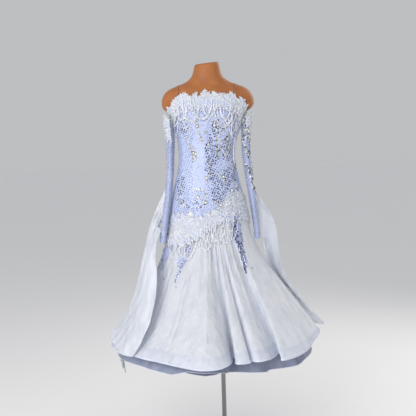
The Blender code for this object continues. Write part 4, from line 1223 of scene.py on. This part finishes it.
@dataclass
class FormAndStand:
    """The limbless dress form, its pole and its base.

    Attributes:
        edge_height: The base's height at its rim.
        sides: Faces round a turned part.
    """

    edge_height: float = 0.010
    sides: int = 96

    def turned(self, name: str, profile: list[tuple[float, float]], finish: str, node: str) -> bpy.types.Object:
        """A turned part from a profile of radius and height.

        Args:
            name: The piece's name.
            profile: Radius and height, from the bottom round to the top.
            finish: Its finish.
            node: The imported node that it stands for.

        Returns:
            The piece.
        """
        mesh = dome(self.sides, profile)
        mesh.name = name
        mesh.shade_smooth()
        mesh.set_sharp_from_angle(angle=SHARP_ANGLE)
        mesh.materials.append(LOOKS.get(finish))
        return settle(new_object(name, mesh), "chrome", node)

    def make(self) -> bpy.types.Object:
        """Builds form, pole and base, and returns the form."""
        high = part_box("form_base")[1]
        radius, top = high.x, high.z
        edge = self.edge_height
        dome_rows = [(radius - 0.0015, 0.0), (radius, 0.0015), (radius, edge - 0.003), (radius - 0.003, edge)]
        for k in range(1, 9):
            t = k / 9
            height = edge + (top - 0.012 - edge) * math.sin(t * math.pi / 2) ** 1.4
            dome_rows.append((radius - 0.003 - (radius - 0.033) * t, height))
        dome_rows += [(0.024, top - 0.011), (0.0205, top - 0.009), (0.0200, top - 0.001), (0.0190, top)]
        self.turned("stand_base", dome_rows, "base", "form_base")
        pole_low, pole_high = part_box("form_pole")
        tube = pole_high.x
        self.turned("stand_pole", [(tube, pole_low.z), (tube, pole_high.z)], "chrome", "form_pole")
        bm = welded("dress_form")
        mesh = bpy.data.meshes.new("dress_form_jersey")
        bm.to_mesh(mesh)
        bm.free()
        form = new_object("dress_form_jersey", mesh)
        form.data = smoothed(form, 2)
        form.data.materials.clear()
        form.data.materials.append(LOOKS.get("jersey"))
        return settle(form, "jersey", "dress_form")


SKIRT_TROUGHS = (
    Trough(-70, -66, 0.90, 0.47, 0.0070, 0.022),
    Trough(-50, -49, 0.88, 0.47, -0.0063, 0.026),
    Trough(-36, -38, 0.90, 0.47, 0.0084, 0.020),
    Trough(-20, -24, 0.88, 0.47, -0.0056, 0.024),
    Trough(-8, -12, 0.90, 0.47, 0.0070, 0.012),
    Trough(-29, -31, 0.84, 0.50, 0.0063, 0.009),
    Trough(-60, -57, 0.86, 0.50, 0.0056, 0.010),
    Trough(-2, -4, 0.93, 0.55, -0.0070, 0.010),
    Trough(64, 74, 0.90, 0.48, -0.0063, 0.018),
    Trough(78, 88, 0.92, 0.50, 0.0077, 0.018),
    Trough(104, 108, 0.90, 0.48, 0.0070, 0.020),
    Trough(138, 146, 0.90, 0.48, 0.0077, 0.018),
    Trough(160, 157, 0.90, 0.48, -0.0063, 0.020),
    Trough(188, 190, 0.90, 0.48, 0.0070, 0.018),
    Trough(206, 203, 0.88, 0.48, -0.0063, 0.022),
    Trough(236, 240, 0.90, 0.48, 0.0077, 0.018),
    Trough(256, 252, 0.88, 0.48, 0.0063, 0.020),
)


SEAMS = (
    (178.4, 0.975, 1.37),
    (181.6, 0.975, 1.37),
    (-90.0, 0.95, 1.40),
    (90.0, 1.0, 1.40),
    (-90.0, 0.46, 0.92),
    (90.0, 0.48, 0.98),
)


@dataclass
class Dress:
    """All the cut pieces of the dress.

    Attributes:
        pieces: The cloth pieces by node name.
    """

    pieces: dict[str, ClothPiece] = field(default_factory=dict)

    def cut(self) -> None:
        """Builds every cut piece of cloth."""
        body = ("dress_form_jersey",)
        skirt = ("bodice_front_cloth",)
        plans = [
            ClothPiece("bodice_front", "lycra", "lycra", held="stretched", rests_on=body, flat=(0.42, 0.56)),
            ClothPiece("bodice_back_left", "lycra", "lycra", held="stretched", rests_on=body, flat=(0.22, 0.5)),
            ClothPiece("bodice_back_right", "lycra", "lycra", held="stretched", rests_on=body, flat=(0.2, 0.5)),
            ClothPiece("underskirt_inner", "net", "net", rests_on=body, flat=(2.0, 0.55)),
            ClothPiece("underskirt_middle", "net", "net", rests_on=body, flat=(2.4, 0.56)),
            *(
                ClothPiece(
                    node, "chiffon", "chiffon", levels=3, troughs=SKIRT_TROUGHS, gathers=(0.0030, 0.975, 0.46),
                    rests_on=skirt, flat=(1.35, 0.58),
                )
                for node in ("skirt_front", "skirt_back")
            ),
            ClothPiece(
                "hem_binding", "satin", "satin", troughs=SKIRT_TROUGHS, held="stretched", rests_on=skirt,
                flat=(2.7, 0.0115),
            ),
            *(
                ClothPiece(node, "mesh", "mesh", held="hung", ripple=(0.0007, pitch), flat=(0.17, 0.55))
                for node, pitch in (("sleeve_left", 0.017), ("sleeve_right", 0.018))
            ),
            ClothPiece(
                "float_left", "float", "chiffon", levels=3, pleats=(7.0, 0.017, 0.5),
                rests_on=("sleeve_left_cloth",), flat=(0.55, 0.8),
            ),
            ClothPiece(
                "float_right", "float", "chiffon", levels=3, pleats=(6.0, 0.014, -0.4),
                rests_on=("sleeve_right_cloth",), flat=(0.42, 0.72),
            ),
            *(
                ClothPiece(
                    node, "guipure", "guipure", levels=1, held="laid", rests_on=("bodice_front_cloth",), flat=flat
                )
                for node, flat in (("neckline_lace", (0.95, 0.16)), ("hip_lace", (0.95, 0.17)))
            ),
            *(
                ClothPiece(
                    f"{sleeve}_lace", "guipure", "guipure", held="laid", rests_on=(f"{sleeve}_cloth",),
                    flat=(0.13, 0.16),
                )
                for sleeve in ("sleeve_left", "sleeve_right")
            ),
            *(
                ClothPiece(
                    f"yoke_point_{side}", "yoke", "guipure", held="laid", rests_on=("skirt_front_cloth",), flat=flat
                )
                for side, flat in (("left_outer", (0.04, 0.1)), ("left_inner", (0.06, 0.13)), ("right", (0.06, 0.15)))
            ),
            *(
                ClothPiece(
                    node, "elastic", "nude_elastic", levels=1, held="stretched", rests_on=body, flat=(0.01, 0.28)
                )
                for node in ("strap_left", "strap_right")
            ),
        ]
        for plan in plans:
            plan.make()
            self.pieces[plan.node] = plan
        hem = self.pieces["hem_binding"].rim(Rim.LOWER)
        for node in ("skirt_front", "skirt_back"):
            self.pieces[node].mark_hem(hem)

    def objects(self, *nodes: str) -> list[bpy.types.Object]:
        """The finished pieces of some nodes."""
        return [self.pieces[n].obj for n in nodes]

    def edges(self) -> None:
        """Rolled edges swept along the hems."""
        runs = [
            ("hem_roll", "hem_binding", Rim.LOWER, 0.0017, "satin", "satin"),
            ("net_edge_middle", "underskirt_middle", Rim.LOWER, 0.0012, "satin", "net"),
            ("net_edge_inner", "underskirt_inner", Rim.LOWER, 0.0010, "satin", "net"),
            ("cuff_edge_left", "sleeve_left", Rim.LOWER, 0.0010, "mesh", "mesh"),
            ("cuff_edge_right", "sleeve_right", Rim.LOWER, 0.0010, "mesh", "mesh"),
            ("float_edge_left", "float_left", Rim.LOWER, 0.0008, "float", "chiffon"),
            ("float_edge_right", "float_right", Rim.LOWER, 0.0008, "float", "chiffon"),
        ]
        for name, node, where, radius, finish, slot in runs:
            path = self.pieces[node].rim(where)
            mesh = path_mesh(name, [path], True)
            obj = REPEAT.run(name, REPEAT.piping(), mesh, finish, Radius=radius, Step=PIPING_STEP)
            obj.data.shade_smooth()
            settle(obj, slot)

    def stitches(self) -> None:
        """Rows of stitches over the hem and up the seams."""
        under = ("skirt_front", "skirt_back", "bodice_front", "bodice_back_left", "bodice_back_right", "hem_binding")
        skin = Skin(self.objects(*under))
        thread = Setting("seam_stitches", dome(6, STITCH_CUT), "stitch", "chiffon", 0.0)
        for above in (0.004, 0.022):
            path = even_path(self.pieces["hem_binding"].rim(Rim.UPPER), STITCH_STEP, True)
            for k, place in enumerate(path):
                ahead = Vector(path[(k + 1) % len(path)] - place)
                point, normal = skin.nearest(place + np.array([0, 0, above]))
                thread.put(point, normal, 0.0022, ahead)
        for angle, low, high in SEAMS:
            for z in np.arange(low, high, STITCH_STEP):
                found = skin.at(angle, float(z))
                if found:
                    thread.put(found[0], found[1], 0.0020, Vector((0, 0, 1)))
        thread.make()
        slider = Setting("zip_slider", dome(8, SLIDER_CUT), "setting", "chrome", 0.0002)
        tag = Setting("zip_tag", leaf(), "setting", "chrome", 0.0012)
        heights = [z for z in np.arange(1.38, 1.25, -0.004) if skin.at(178.7, float(z))]
        point, normal = skin.at(178.7, float(heights[0]) - 0.012)
        slider.put(point, normal, 0.006)
        tag.put(point - Vector((0, 0, 0.002)), normal, 0.016, Vector((0, 0, -1)))
        slider.make()
        tag.make()


HIP_MASSES = (
    (187, 232, 19, 10),
    (191, 215, 8, 6),
    (214, 215, 7, 9),
    (226, 207, 9, 8),
    (240, 201, 13, 11),
    (250, 212, 8, 10),
)

CRYSTALS = (
    (190, 128), (197, 126), (214.4, 125.4), (206, 132.4), (201, 139), (208.4, 144.3), (193.4, 152.8),
    (194, 156.6), (227, 138.6), (228.4, 147.9), (206.6, 178.2), (223.4, 176.8), (199, 189.6), (198, 197),
    (205.6, 202.7), (214.8, 202), (221, 205), (191, 214), (226.8, 123), (232, 190), (182, 201), (174, 213),
)

DARK_CRYSTALS = (
    (206.4, 144.6), (219.8, 150), (211, 165.5), (227.4, 188.8), (227, 136.6), (216.3, 146.4), (220.5, 204.5),
    (205.5, 201.5),
)

VINES = (
    [(183, 122), (184, 130), (187, 139), (190, 147), (192.5, 153), (193.5, 160)],
    [(196, 121), (198, 128), (200.5, 137), (203, 142)],
    [(191, 145), (195, 150), (196.5, 157), (193, 162)],
    [(213, 120), (217, 130), (219.5, 135), (222, 131), (224, 128)],
    [(216, 136), (216.5, 147), (217, 157)],
    [(220.5, 138), (220.8, 148), (219, 158)],
    [(225.5, 140), (225.8, 150), (225, 157)],
    [(228, 132), (229.5, 142), (230, 150), (232, 160), (233, 172), (234, 184)],
    [(207, 160), (210, 164), (211, 170), (209, 174), (206.5, 178), (208, 183)],
    [(216, 172), (220, 175), (223.5, 178), (226, 184), (227.5, 190)],
    [(192, 192), (195, 189), (199, 188.5), (203, 190), (206, 193), (207, 198)],
    [(196, 196), (198, 198), (202, 200), (205, 203)],
    [(183, 176), (181, 186), (179, 196), (178, 206)],
    [(237, 186), (235, 193), (236, 200)],
)

SLEEVE_VINES = (
    [(244, 122), (246, 132), (243, 140), (246, 150), (249, 158)],
    [(248, 126), (249, 138), (251, 148), (248, 156)],
    [(246, 164), (250, 172), (252, 180), (254, 190)],
    [(252, 166), (255, 178), (256, 190), (259, 204)],
    [(165, 128), (164, 140), (165, 152)],
    [(165, 172), (163, 184), (164, 196), (162, 208)],
)

DARK_MASSES = (
    (217, 128, 6, 9),
    (212, 150, 7, 16),
    (226, 150, 5, 12),
    (214, 176, 5, 8),
    (219, 192, 8, 12),
    (208, 168, 3, 7),
    (228, 176, 5, 10),
    (184, 128, 4, 10),
    (181, 182, 4, 14),
    (235, 168, 3, 14),
    (196, 205, 6, 5),
)

ROSETTES = (
    (191, 214, 7, 0.019), (180, 221, 7, 0.018), (214, 213, 7, 0.018), (228, 203, 7, 0.019), (241, 197, 7, 0.019),
    (250, 206, 6, 0.016), (176, 233, 7, 0.019), (200, 231, 7, 0.019), (187, 236, 7, 0.018), (233, 214, 6, 0.015),
    (175, 101, 6, 0.016), (189, 98, 6, 0.016), (204, 95, 7, 0.018), (221, 97, 6, 0.016), (235, 102, 6, 0.016),
    (242, 111, 6, 0.015), (169, 112, 6, 0.015), (171, 126, 5, 0.014), (240, 124, 5, 0.014), (184, 205, 5, 0.013),
    (236, 186, 5, 0.013), (206, 221, 5, 0.014), (221, 220, 5, 0.014), (198, 223, 5, 0.014), (170, 228, 5, 0.014),
)

SWAGS_BUST = (
    (179, 106, 187, 108, 120),
    (183, 101, 199, 106, 123),
    (185.5, 104, 214, 103, 124),
    (191, 100, 212, 100, 119),
    (194, 99, 207, 98, 111),
    (214.5, 108, 231, 112, 127),
    (217, 101, 230, 106, 121),
    (223, 103, 235, 110, 125),
    (228, 118, 239, 116, 138),
    (231, 116, 238, 114, 130),
    (170, 110, 180, 110, 126),
    (173, 118, 179, 118, 138),
)

SWAGS_HIP = (
    (199, 238, 213, 234, 250),
    (214, 236, 228, 234, 247),
    (176, 240, 186, 242, 258),
    (184, 241, 193, 240, 254),
    (205, 222, 214, 224, 246),
    (207, 222, 212, 222, 238),
    (216, 222, 222, 222, 243),
    (169, 236, 177, 240, 253),
    (228, 222, 237, 220, 240),
    (190, 238, 203, 236, 247),
    (221, 234, 232, 230, 243),
    (171, 240, 184, 242, 262),
    (210, 224, 218, 224, 241),
)


class Embroidery:
    """Lace leaves, stones, sequins and bead strings on the finished cloth."""

    def __init__(self, dress: Dress) -> None:
        """Reads the finished cloth.

        Args:
            dress: The dress.
        """
        self.dress = dress
        self.chance = random.Random(11)
        lace = ("neckline_lace", "hip_lace", "yoke_point_left_outer", "yoke_point_left_inner", "yoke_point_right")
        cloth = ("bodice_front", "bodice_back_left", "bodice_back_right", "skirt_front", "skirt_back")
        self.skin = Skin(dress.objects(*cloth, *lace))
        self.sleeves = Skin(dress.objects("sleeve_left", "sleeve_right", "sleeve_left_lace", "sleeve_right_lace"))
        rim = dress.pieces["neckline_lace"].rim(Rim.UPPER)
        angles = polar(rim)[0]
        order = np.argsort(angles)
        self.crest = (angles[order], rim[order, 2])

    def thick(self, node: str, place: Vector) -> bool:
        """Whether the leaves lie thick at a place of a lace piece.

        Args:
            node: The lace piece's node.
            place: The place.

        Returns:
            True in its masses of leaves and False where the ground shows.
        """
        angle = math.degrees(math.atan2(place.x - axis_x(place.z), -place.y))
        if node == "neckline_lace":
            crest = float(np.interp(angle, self.crest[0], self.crest[1]))
            return place.z > crest - 0.022 - 0.007 * math.sin(angle * 0.21) or abs(angle) > 55
        if node != "hip_lace" or place.y > -0.01:
            return True
        x, y = VIEW.pixel(place)
        return any(((x - cx) / rx) ** 2 + ((y - cy) / ry) ** 2 < 1 for cx, cy, rx, ry in HIP_MASSES)

    def outer_faces(self, node: str, thick: bool = True) -> bpy.types.Mesh:
        """The faces of a lace piece that face away from the body.

        Args:
            node: The lace piece's node.
            thick: True for its masses of leaves, False for the rest.

        Returns:
            A mesh of those faces.
        """
        source = self.dress.pieces[node].obj.data
        bm = bmesh.new()
        bm.from_mesh(source)
        centre = np.array([v.co[:] for v in bm.verts]).mean(axis=0)
        sleeve = node.startswith("sleeve")
        drop = []
        for face in bm.faces:
            middle = face.calc_center_median()
            if sleeve:
                out = Vector((math.copysign(1.0, centre[0] - AXIS_X), (middle.y - centre[1]) * 30, 0))
            else:
                out = Vector((middle.x - axis_x(middle.z), middle.y, 0))
            if face.normal.dot(out.normalized()) < 0.3 or self.thick(node, middle) != thick:
                drop.append(face)
        bmesh.ops.delete(bm, geom=drop, context="FACES")
        mesh = bpy.data.meshes.new(node + "_outside")
        bm.to_mesh(mesh)
        bm.free()
        return mesh

    def leaves(self) -> None:
        """Leaves over the lace, and sprays of them along its edges."""
        small = new_object("motif_leaf", leaf())
        plans = [("neckline_lace", True, 0.0062, 0.010, 0.016, 31), ("neckline_lace", False, 0.022, 0.008, 0.012, 38)]
        plans += [("hip_lace", True, 0.0082, 0.010, 0.019, 32), ("hip_lace", False, 0.017, 0.008, 0.013, 39)]
        plans += [(f"sleeve_{s}_lace", True, 0.007, 0.009, 0.014, seed) for s, seed in (("left", 33), ("right", 34))]
        for node, thick, spacing, least, most, seed in plans:
            obj = REPEAT.run(
                node + ("_leaves" if thick else "_sprigs"), REPEAT.scatter(), self.outer_faces(node, thick), "leaf",
                Motif=small, Spacing=spacing, Density=LEAF_DENSITY, Smallest=least, Largest=most, Seed=seed,
            )
            settle(obj, "guipure")
        bpy.data.objects.remove(small)
        sprays = Setting("lace_edge_leaves", leaf(), "leaf", "guipure", 0.0004)
        both = ((Rim.UPPER, 1), (Rim.LOWER, -1))
        edges = [(node, where, up) for node in ("neckline_lace", "hip_lace") for where, up in both]
        edges += [("sleeve_left_lace", Rim.UPPER, 1), ("sleeve_right_lace", Rim.UPPER, 1)]
        for node, where, up in edges:
            path = even_path(self.dress.pieces[node].rim(where), SPRAY_STEP)
            for k in range(1, len(path) - 1):
                if not self.thick(node, Vector(path[k])) and self.chance.random() < 0.6:
                    continue
                ahead = Vector(path[k + 1] - path[k - 1]).normalized()
                out = Vector((path[k][0] - axis_x(path[k][2]), path[k][1], 0)).normalized()
                away = ahead.cross(out)
                away = away if away.z * up > 0 else -away
                fan = self.chance.uniform(-0.7, 0.7)
                size = self.chance.uniform(0.011, 0.017)
                root = Vector(path[k]) - away * size * 0.45
                sprays.put(root + out * 0.0004, out, size, away + ahead * fan)
        sprays.make()
        self.rosettes()

    def rosettes(self) -> None:
        """Flowers of leaves that stand on the lace and above it."""
        flowers = Setting("lace_rosettes", leaf(), "leaf", "guipure", 0.0012)
        for x, y, petals, reach in ROSETTES:
            found = self.skin.seen(x, y)
            if not found:
                continue
            point, normal = found
            side = normal.cross(Vector((0, 0, 1))).normalized()
            rise = side.cross(normal)
            first = self.chance.uniform(0, math.tau)
            for k in range(petals):
                a = first + math.tau * (k + self.chance.uniform(-0.2, 0.2)) / petals
                away = side * math.cos(a) + rise * math.sin(a)
                flowers.put(point + away * reach * 0.12, normal, reach * self.chance.uniform(0.85, 1.1), away)
        flowers.make()

    def crystals(self) -> None:
        """Large round crystals in dark settings, where the photo shows them."""
        stones = Setting("crystals_large", dome(12, CRYSTAL_CUT), "crystal", "glass_beads")
        rims = Setting("crystal_settings", dome(12, CUP_CUT), "setting", "glass_beads")
        for x, y in CRYSTALS:
            found = self.skin.seen(x, y)
            if found:
                size = self.chance.uniform(0.0095, 0.0120)
                stones.put(found[0], found[1], size)
                rims.put(found[0], found[1], size)
        onyx = Setting("dark_crystals", dome(10, ONYX_CUT), "setting", "glass_beads")
        for x, y in DARK_CRYSTALS:
            found = self.skin.seen(x, y)
            if found:
                onyx.put(found[0], found[1], 0.0075)
        stones.make()
        rims.make()
        onyx.make()

    def vines(self) -> None:
        """Lines of small smoky and clear stones that wind beside the crystals."""
        clear = Setting("vine_stones_clear", dome(8, HIGH_CUT), "crystal", "glass_beads")
        smoke = Setting("vine_stones_smoke", dome(8, HIGH_CUT), "smoke", "glass_beads")
        for line in VINES:
            flat = np.array([(x, y, 0.0) for x, y in line])
            for x, y, _ in even_path(flat, VINE_STEP):
                for side in (-0.5, 0.5):
                    found = self.skin.seen(x + side + self.chance.uniform(-0.4, 0.4), y)
                    if found and self.chance.random() < 0.8:
                        target = smoke if self.chance.random() < 0.5 else clear
                        target.put(found[0], found[1], self.chance.uniform(0.0030, 0.0052))
        clear.make()
        smoke.make()

    def dots(self) -> None:
        """Small stones in a loose slanted grid: slate ones all over, navy ones in the dark masses."""
        motif = dome(6, LOW_CUT)
        navy = Setting("navy_dots", motif, "navy", "glass_beads")
        slate = Setting("slate_dots", motif.copy(), "slate", "glass_beads")
        across, down = DOT_PITCH * math.cos(DOT_SLANT), DOT_PITCH * math.sin(DOT_SLANT)
        for i in range(-31, 32):
            for j in range(-31, 32):
                x = 210 + i * across - j * down + self.chance.uniform(-0.5, 0.5)
                y = 165 + i * down + j * across + self.chance.uniform(-0.5, 0.5)
                if not (175 < x < 246 and 106 < y < 218):
                    continue
                dark = any(((x - cx) / rx) ** 2 + ((y - cy) / ry) ** 2 < 1 for cx, cy, rx, ry in DARK_MASSES)
                middle = 193 < x < 206 and 122 < y < 190
                if self.chance.random() < (0.08 if dark else 0.55 if middle else 0.16):
                    continue
                found = self.skin.seen(x, y)
                if found and found[0].y < 0.02:
                    least, most = (0.0054, 0.0078) if dark else (0.0026, 0.0036) if middle else (0.0038, 0.0054)
                    target = navy if dark and self.chance.random() < 0.8 else slate
                    target.put(found[0], found[1], self.chance.uniform(least, most))
        for k, z in enumerate(np.arange(1.05, 1.33, 0.0115)):
            for angle in np.arange(98, 263, 6.2):
                turned = float(angle) + 3.1 * (k % 2) + self.chance.uniform(-1.4, 1.4)
                found = self.skin.at(turned, float(z) + self.chance.uniform(-0.004, 0.004))
                if found:
                    slate.put(found[0], found[1], 0.0044)
        navy.make()
        slate.make()

    def tails(self) -> None:
        """Sequins and dark stones on the points that run down from the hip."""
        sequins = Setting("hip_sequins", dome(8, SEQUIN_CUT), "lavender", "glass_beads", 0.0010)
        darks = Setting("hip_dark_stones", dome(6, LOW_CUT), "navy", "glass_beads", 0.0010)
        runs = [
            ([(170, 205), (168, 222), (165, 240), (163, 255), (162, 270)], 2.4, 0.10),
            ([(193, 236), (189, 248), (184, 260), (179, 272), (176, 282)], 3.6, 0.28),
            ([(235, 214), (238, 228), (241, 244), (244, 258), (246, 270)], 3.4, 0.45),
            ([(233, 224), (236, 238), (240, 250), (243, 260), (246, 272)], 2.2, 0.85),
            ([(180, 200), (186, 206), (196, 210), (204, 204)], 4.0, 0.25),
        ]
        for line, wide, dark in runs:
            path = even_path(np.array([(x, y, 0.0) for x, y in line]), 0.75)
            for k, (x, y, _) in enumerate(path):
                half = wide * (1.0 - 0.7 * k / len(path))
                for _ in range(3 if wide > 2 else 2):
                    found = self.skin.seen(x + self.chance.uniform(-half, half), y + self.chance.uniform(-0.5, 0.5))
                    if found:
                        target = darks if self.chance.random() < dark else sequins
                        target.put(found[0], found[1], self.chance.uniform(0.0034, 0.0056))
        for x, y in ((164, 279), (252, 268), (176, 287), (246, 273), (183, 247), (223, 228), (178, 266)):
            found = self.skin.seen(x, y)
            if found:
                darks.put(found[0], found[1], 0.005)
        sequins.make()
        darks.make()

    def sleeve_stones(self) -> None:
        """Stones in rows down the sleeves."""
        stones = Setting("sleeve_stones", dome(6, LOW_CUT), "navy", "glass_beads")
        clear = Setting("sleeve_stones_clear", dome(8, HIGH_CUT), "crystal", "glass_beads")
        for node in ("sleeve_left", "sleeve_right"):
            points = coordinates(self.dress.pieces[node].obj.data)
            for row, z in enumerate(np.arange(0.925, 1.40, 0.0105)):
                near = points[np.abs(points[:, 2] - z) < 0.02]
                if not len(near):
                    continue
                middle = (near.min(axis=0) + near.max(axis=0)) / 2
                for k in range(11):
                    a = math.tau * (k + 0.5 * (row % 2)) / 11
                    out = Vector((math.cos(a), math.sin(a), 0))
                    start = Vector((middle[0], middle[1], float(z))) + out * 0.08
                    point, normal, _, _ = self.sleeves.tree.ray_cast(start, -out, 0.08)
                    if point is None:
                        continue
                    normal = normal if normal.dot(out) > 0 else -normal
                    target = clear if self.chance.random() < 0.25 else stones
                    target.put(point, normal, self.chance.uniform(0.0028, 0.0042))
        for line in SLEEVE_VINES:
            for x, y, _ in even_path(np.array([(x, y, 0.0) for x, y in line]), VINE_STEP):
                for side in (-0.9, 0.0, 0.9):
                    found = self.sleeves.seen(x + side + self.chance.uniform(-0.3, 0.3), y)
                    if found and self.chance.random() < 0.75:
                        target = clear if self.chance.random() < 0.4 else stones
                        target.put(found[0], found[1], self.chance.uniform(0.0040, 0.0062))
        stones.make()
        clear.make()

    def swags(self, table: tuple) -> list[np.ndarray]:
        """Strings that hang where the photo shows them.

        Args:
            table: Both ends' pixels and the lowest pixel row of each string.

        Returns:
            Each string's path.
        """
        paths = []
        for x0, y0, x1, y1, low in table:
            path = []
            for s in np.linspace(0, 1, 36):
                x = (x0 + x1) / 2 - (x1 - x0) / 2 * math.cos(math.pi * s)
                top = y0 + (y1 - y0) * s
                found = self.skin.seen(x, top + (low - top) * math.sin(math.pi * s) ** 0.8)
                if found:
                    path.append((found[0] + found[1] * 0.0050)[:])
            paths.append(np.array(path))
        return [path for path in paths if len(path) > 5]

    def strings(self) -> None:
        """Strings of beads that hang in loops from the neckline and the hip."""
        plans = {
            "bust_bead_strings": [
                (-63, -42, 0.052, 0), (-48, -21, 0.066, 1), (-33, 6, 0.058, 0), (-12, 18, 0.050, 1), (12, 51, 0.086, 0),
                (24, 42, 0.060, 1), (45, 63, 0.112, 1), (57, 69, 0.078, 0), (66, 72, 0.205, 1),
            ],
            "hip_bead_strings": [
                (-54, -36, 0.058, 0), (-45, -24, 0.078, 1), (-18, 6, 0.088, 0), (-9, 0, 0.060, 1), (9, 30, 0.086, 1),
                (36, 48, 0.060, 0),
            ],
        }
        for node, rows in plans.items():
            strip = coordinates(NODES[node].data)
            angles = polar(strip)[0]
            paths = []
            for first, last, drop, layer in rows:
                for strand in (0, 1):
                    path = []
                    for s in np.linspace(0, 1, 40):
                        angle = first + 1.5 + (last - first) * s
                        crest = strip[np.abs(angles - angle) < 1.7][:, 2].max()
                        hang = (4 * s * (1 - s)) ** 0.62
                        z = crest - 0.004 - (drop - 0.006 * strand) * hang
                        found = self.skin.at(angle, z, 0.6)
                        out = found[0] + found[1] * (0.0042 + 0.003 * layer * min(1.0, hang * 1.8))
                        path.append(out[:])
                    paths.append(np.array(path))
            paths += self.swags(SWAGS_BUST if node.startswith("bust") else SWAGS_HIP)
            mesh = path_mesh(node + "_threaded", paths, False)
            obj = REPEAT.run(
                node + "_threaded", REPEAT.beads(), mesh, "bead", Spacing=BEAD_SPACING, Radius=BEAD_RADIUS, Seed=5
            )
            settle(obj, "glass_beads", node)

    def make(self) -> None:
        """Sets everything."""
        self.leaves()
        self.crystals()
        self.vines()
        self.dots()
        self.tails()
        self.sleeve_stones()
        self.strings()


def main() -> None:
    """Builds the studio, the form and the dress."""
    logging.basicConfig(level=logging.INFO, format="%(message)s")
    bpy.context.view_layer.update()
    bpy.context.scene.view_settings.view_transform = "Standard"
    VIEW.make()
    FormAndStand().make()
    dress = Dress()
    dress.cut()
    dress.edges()
    dress.stitches()
    Embroidery(dress).make()


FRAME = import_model()
NODES = FRAME["nodes"]

if __name__ == "__main__":
    main()
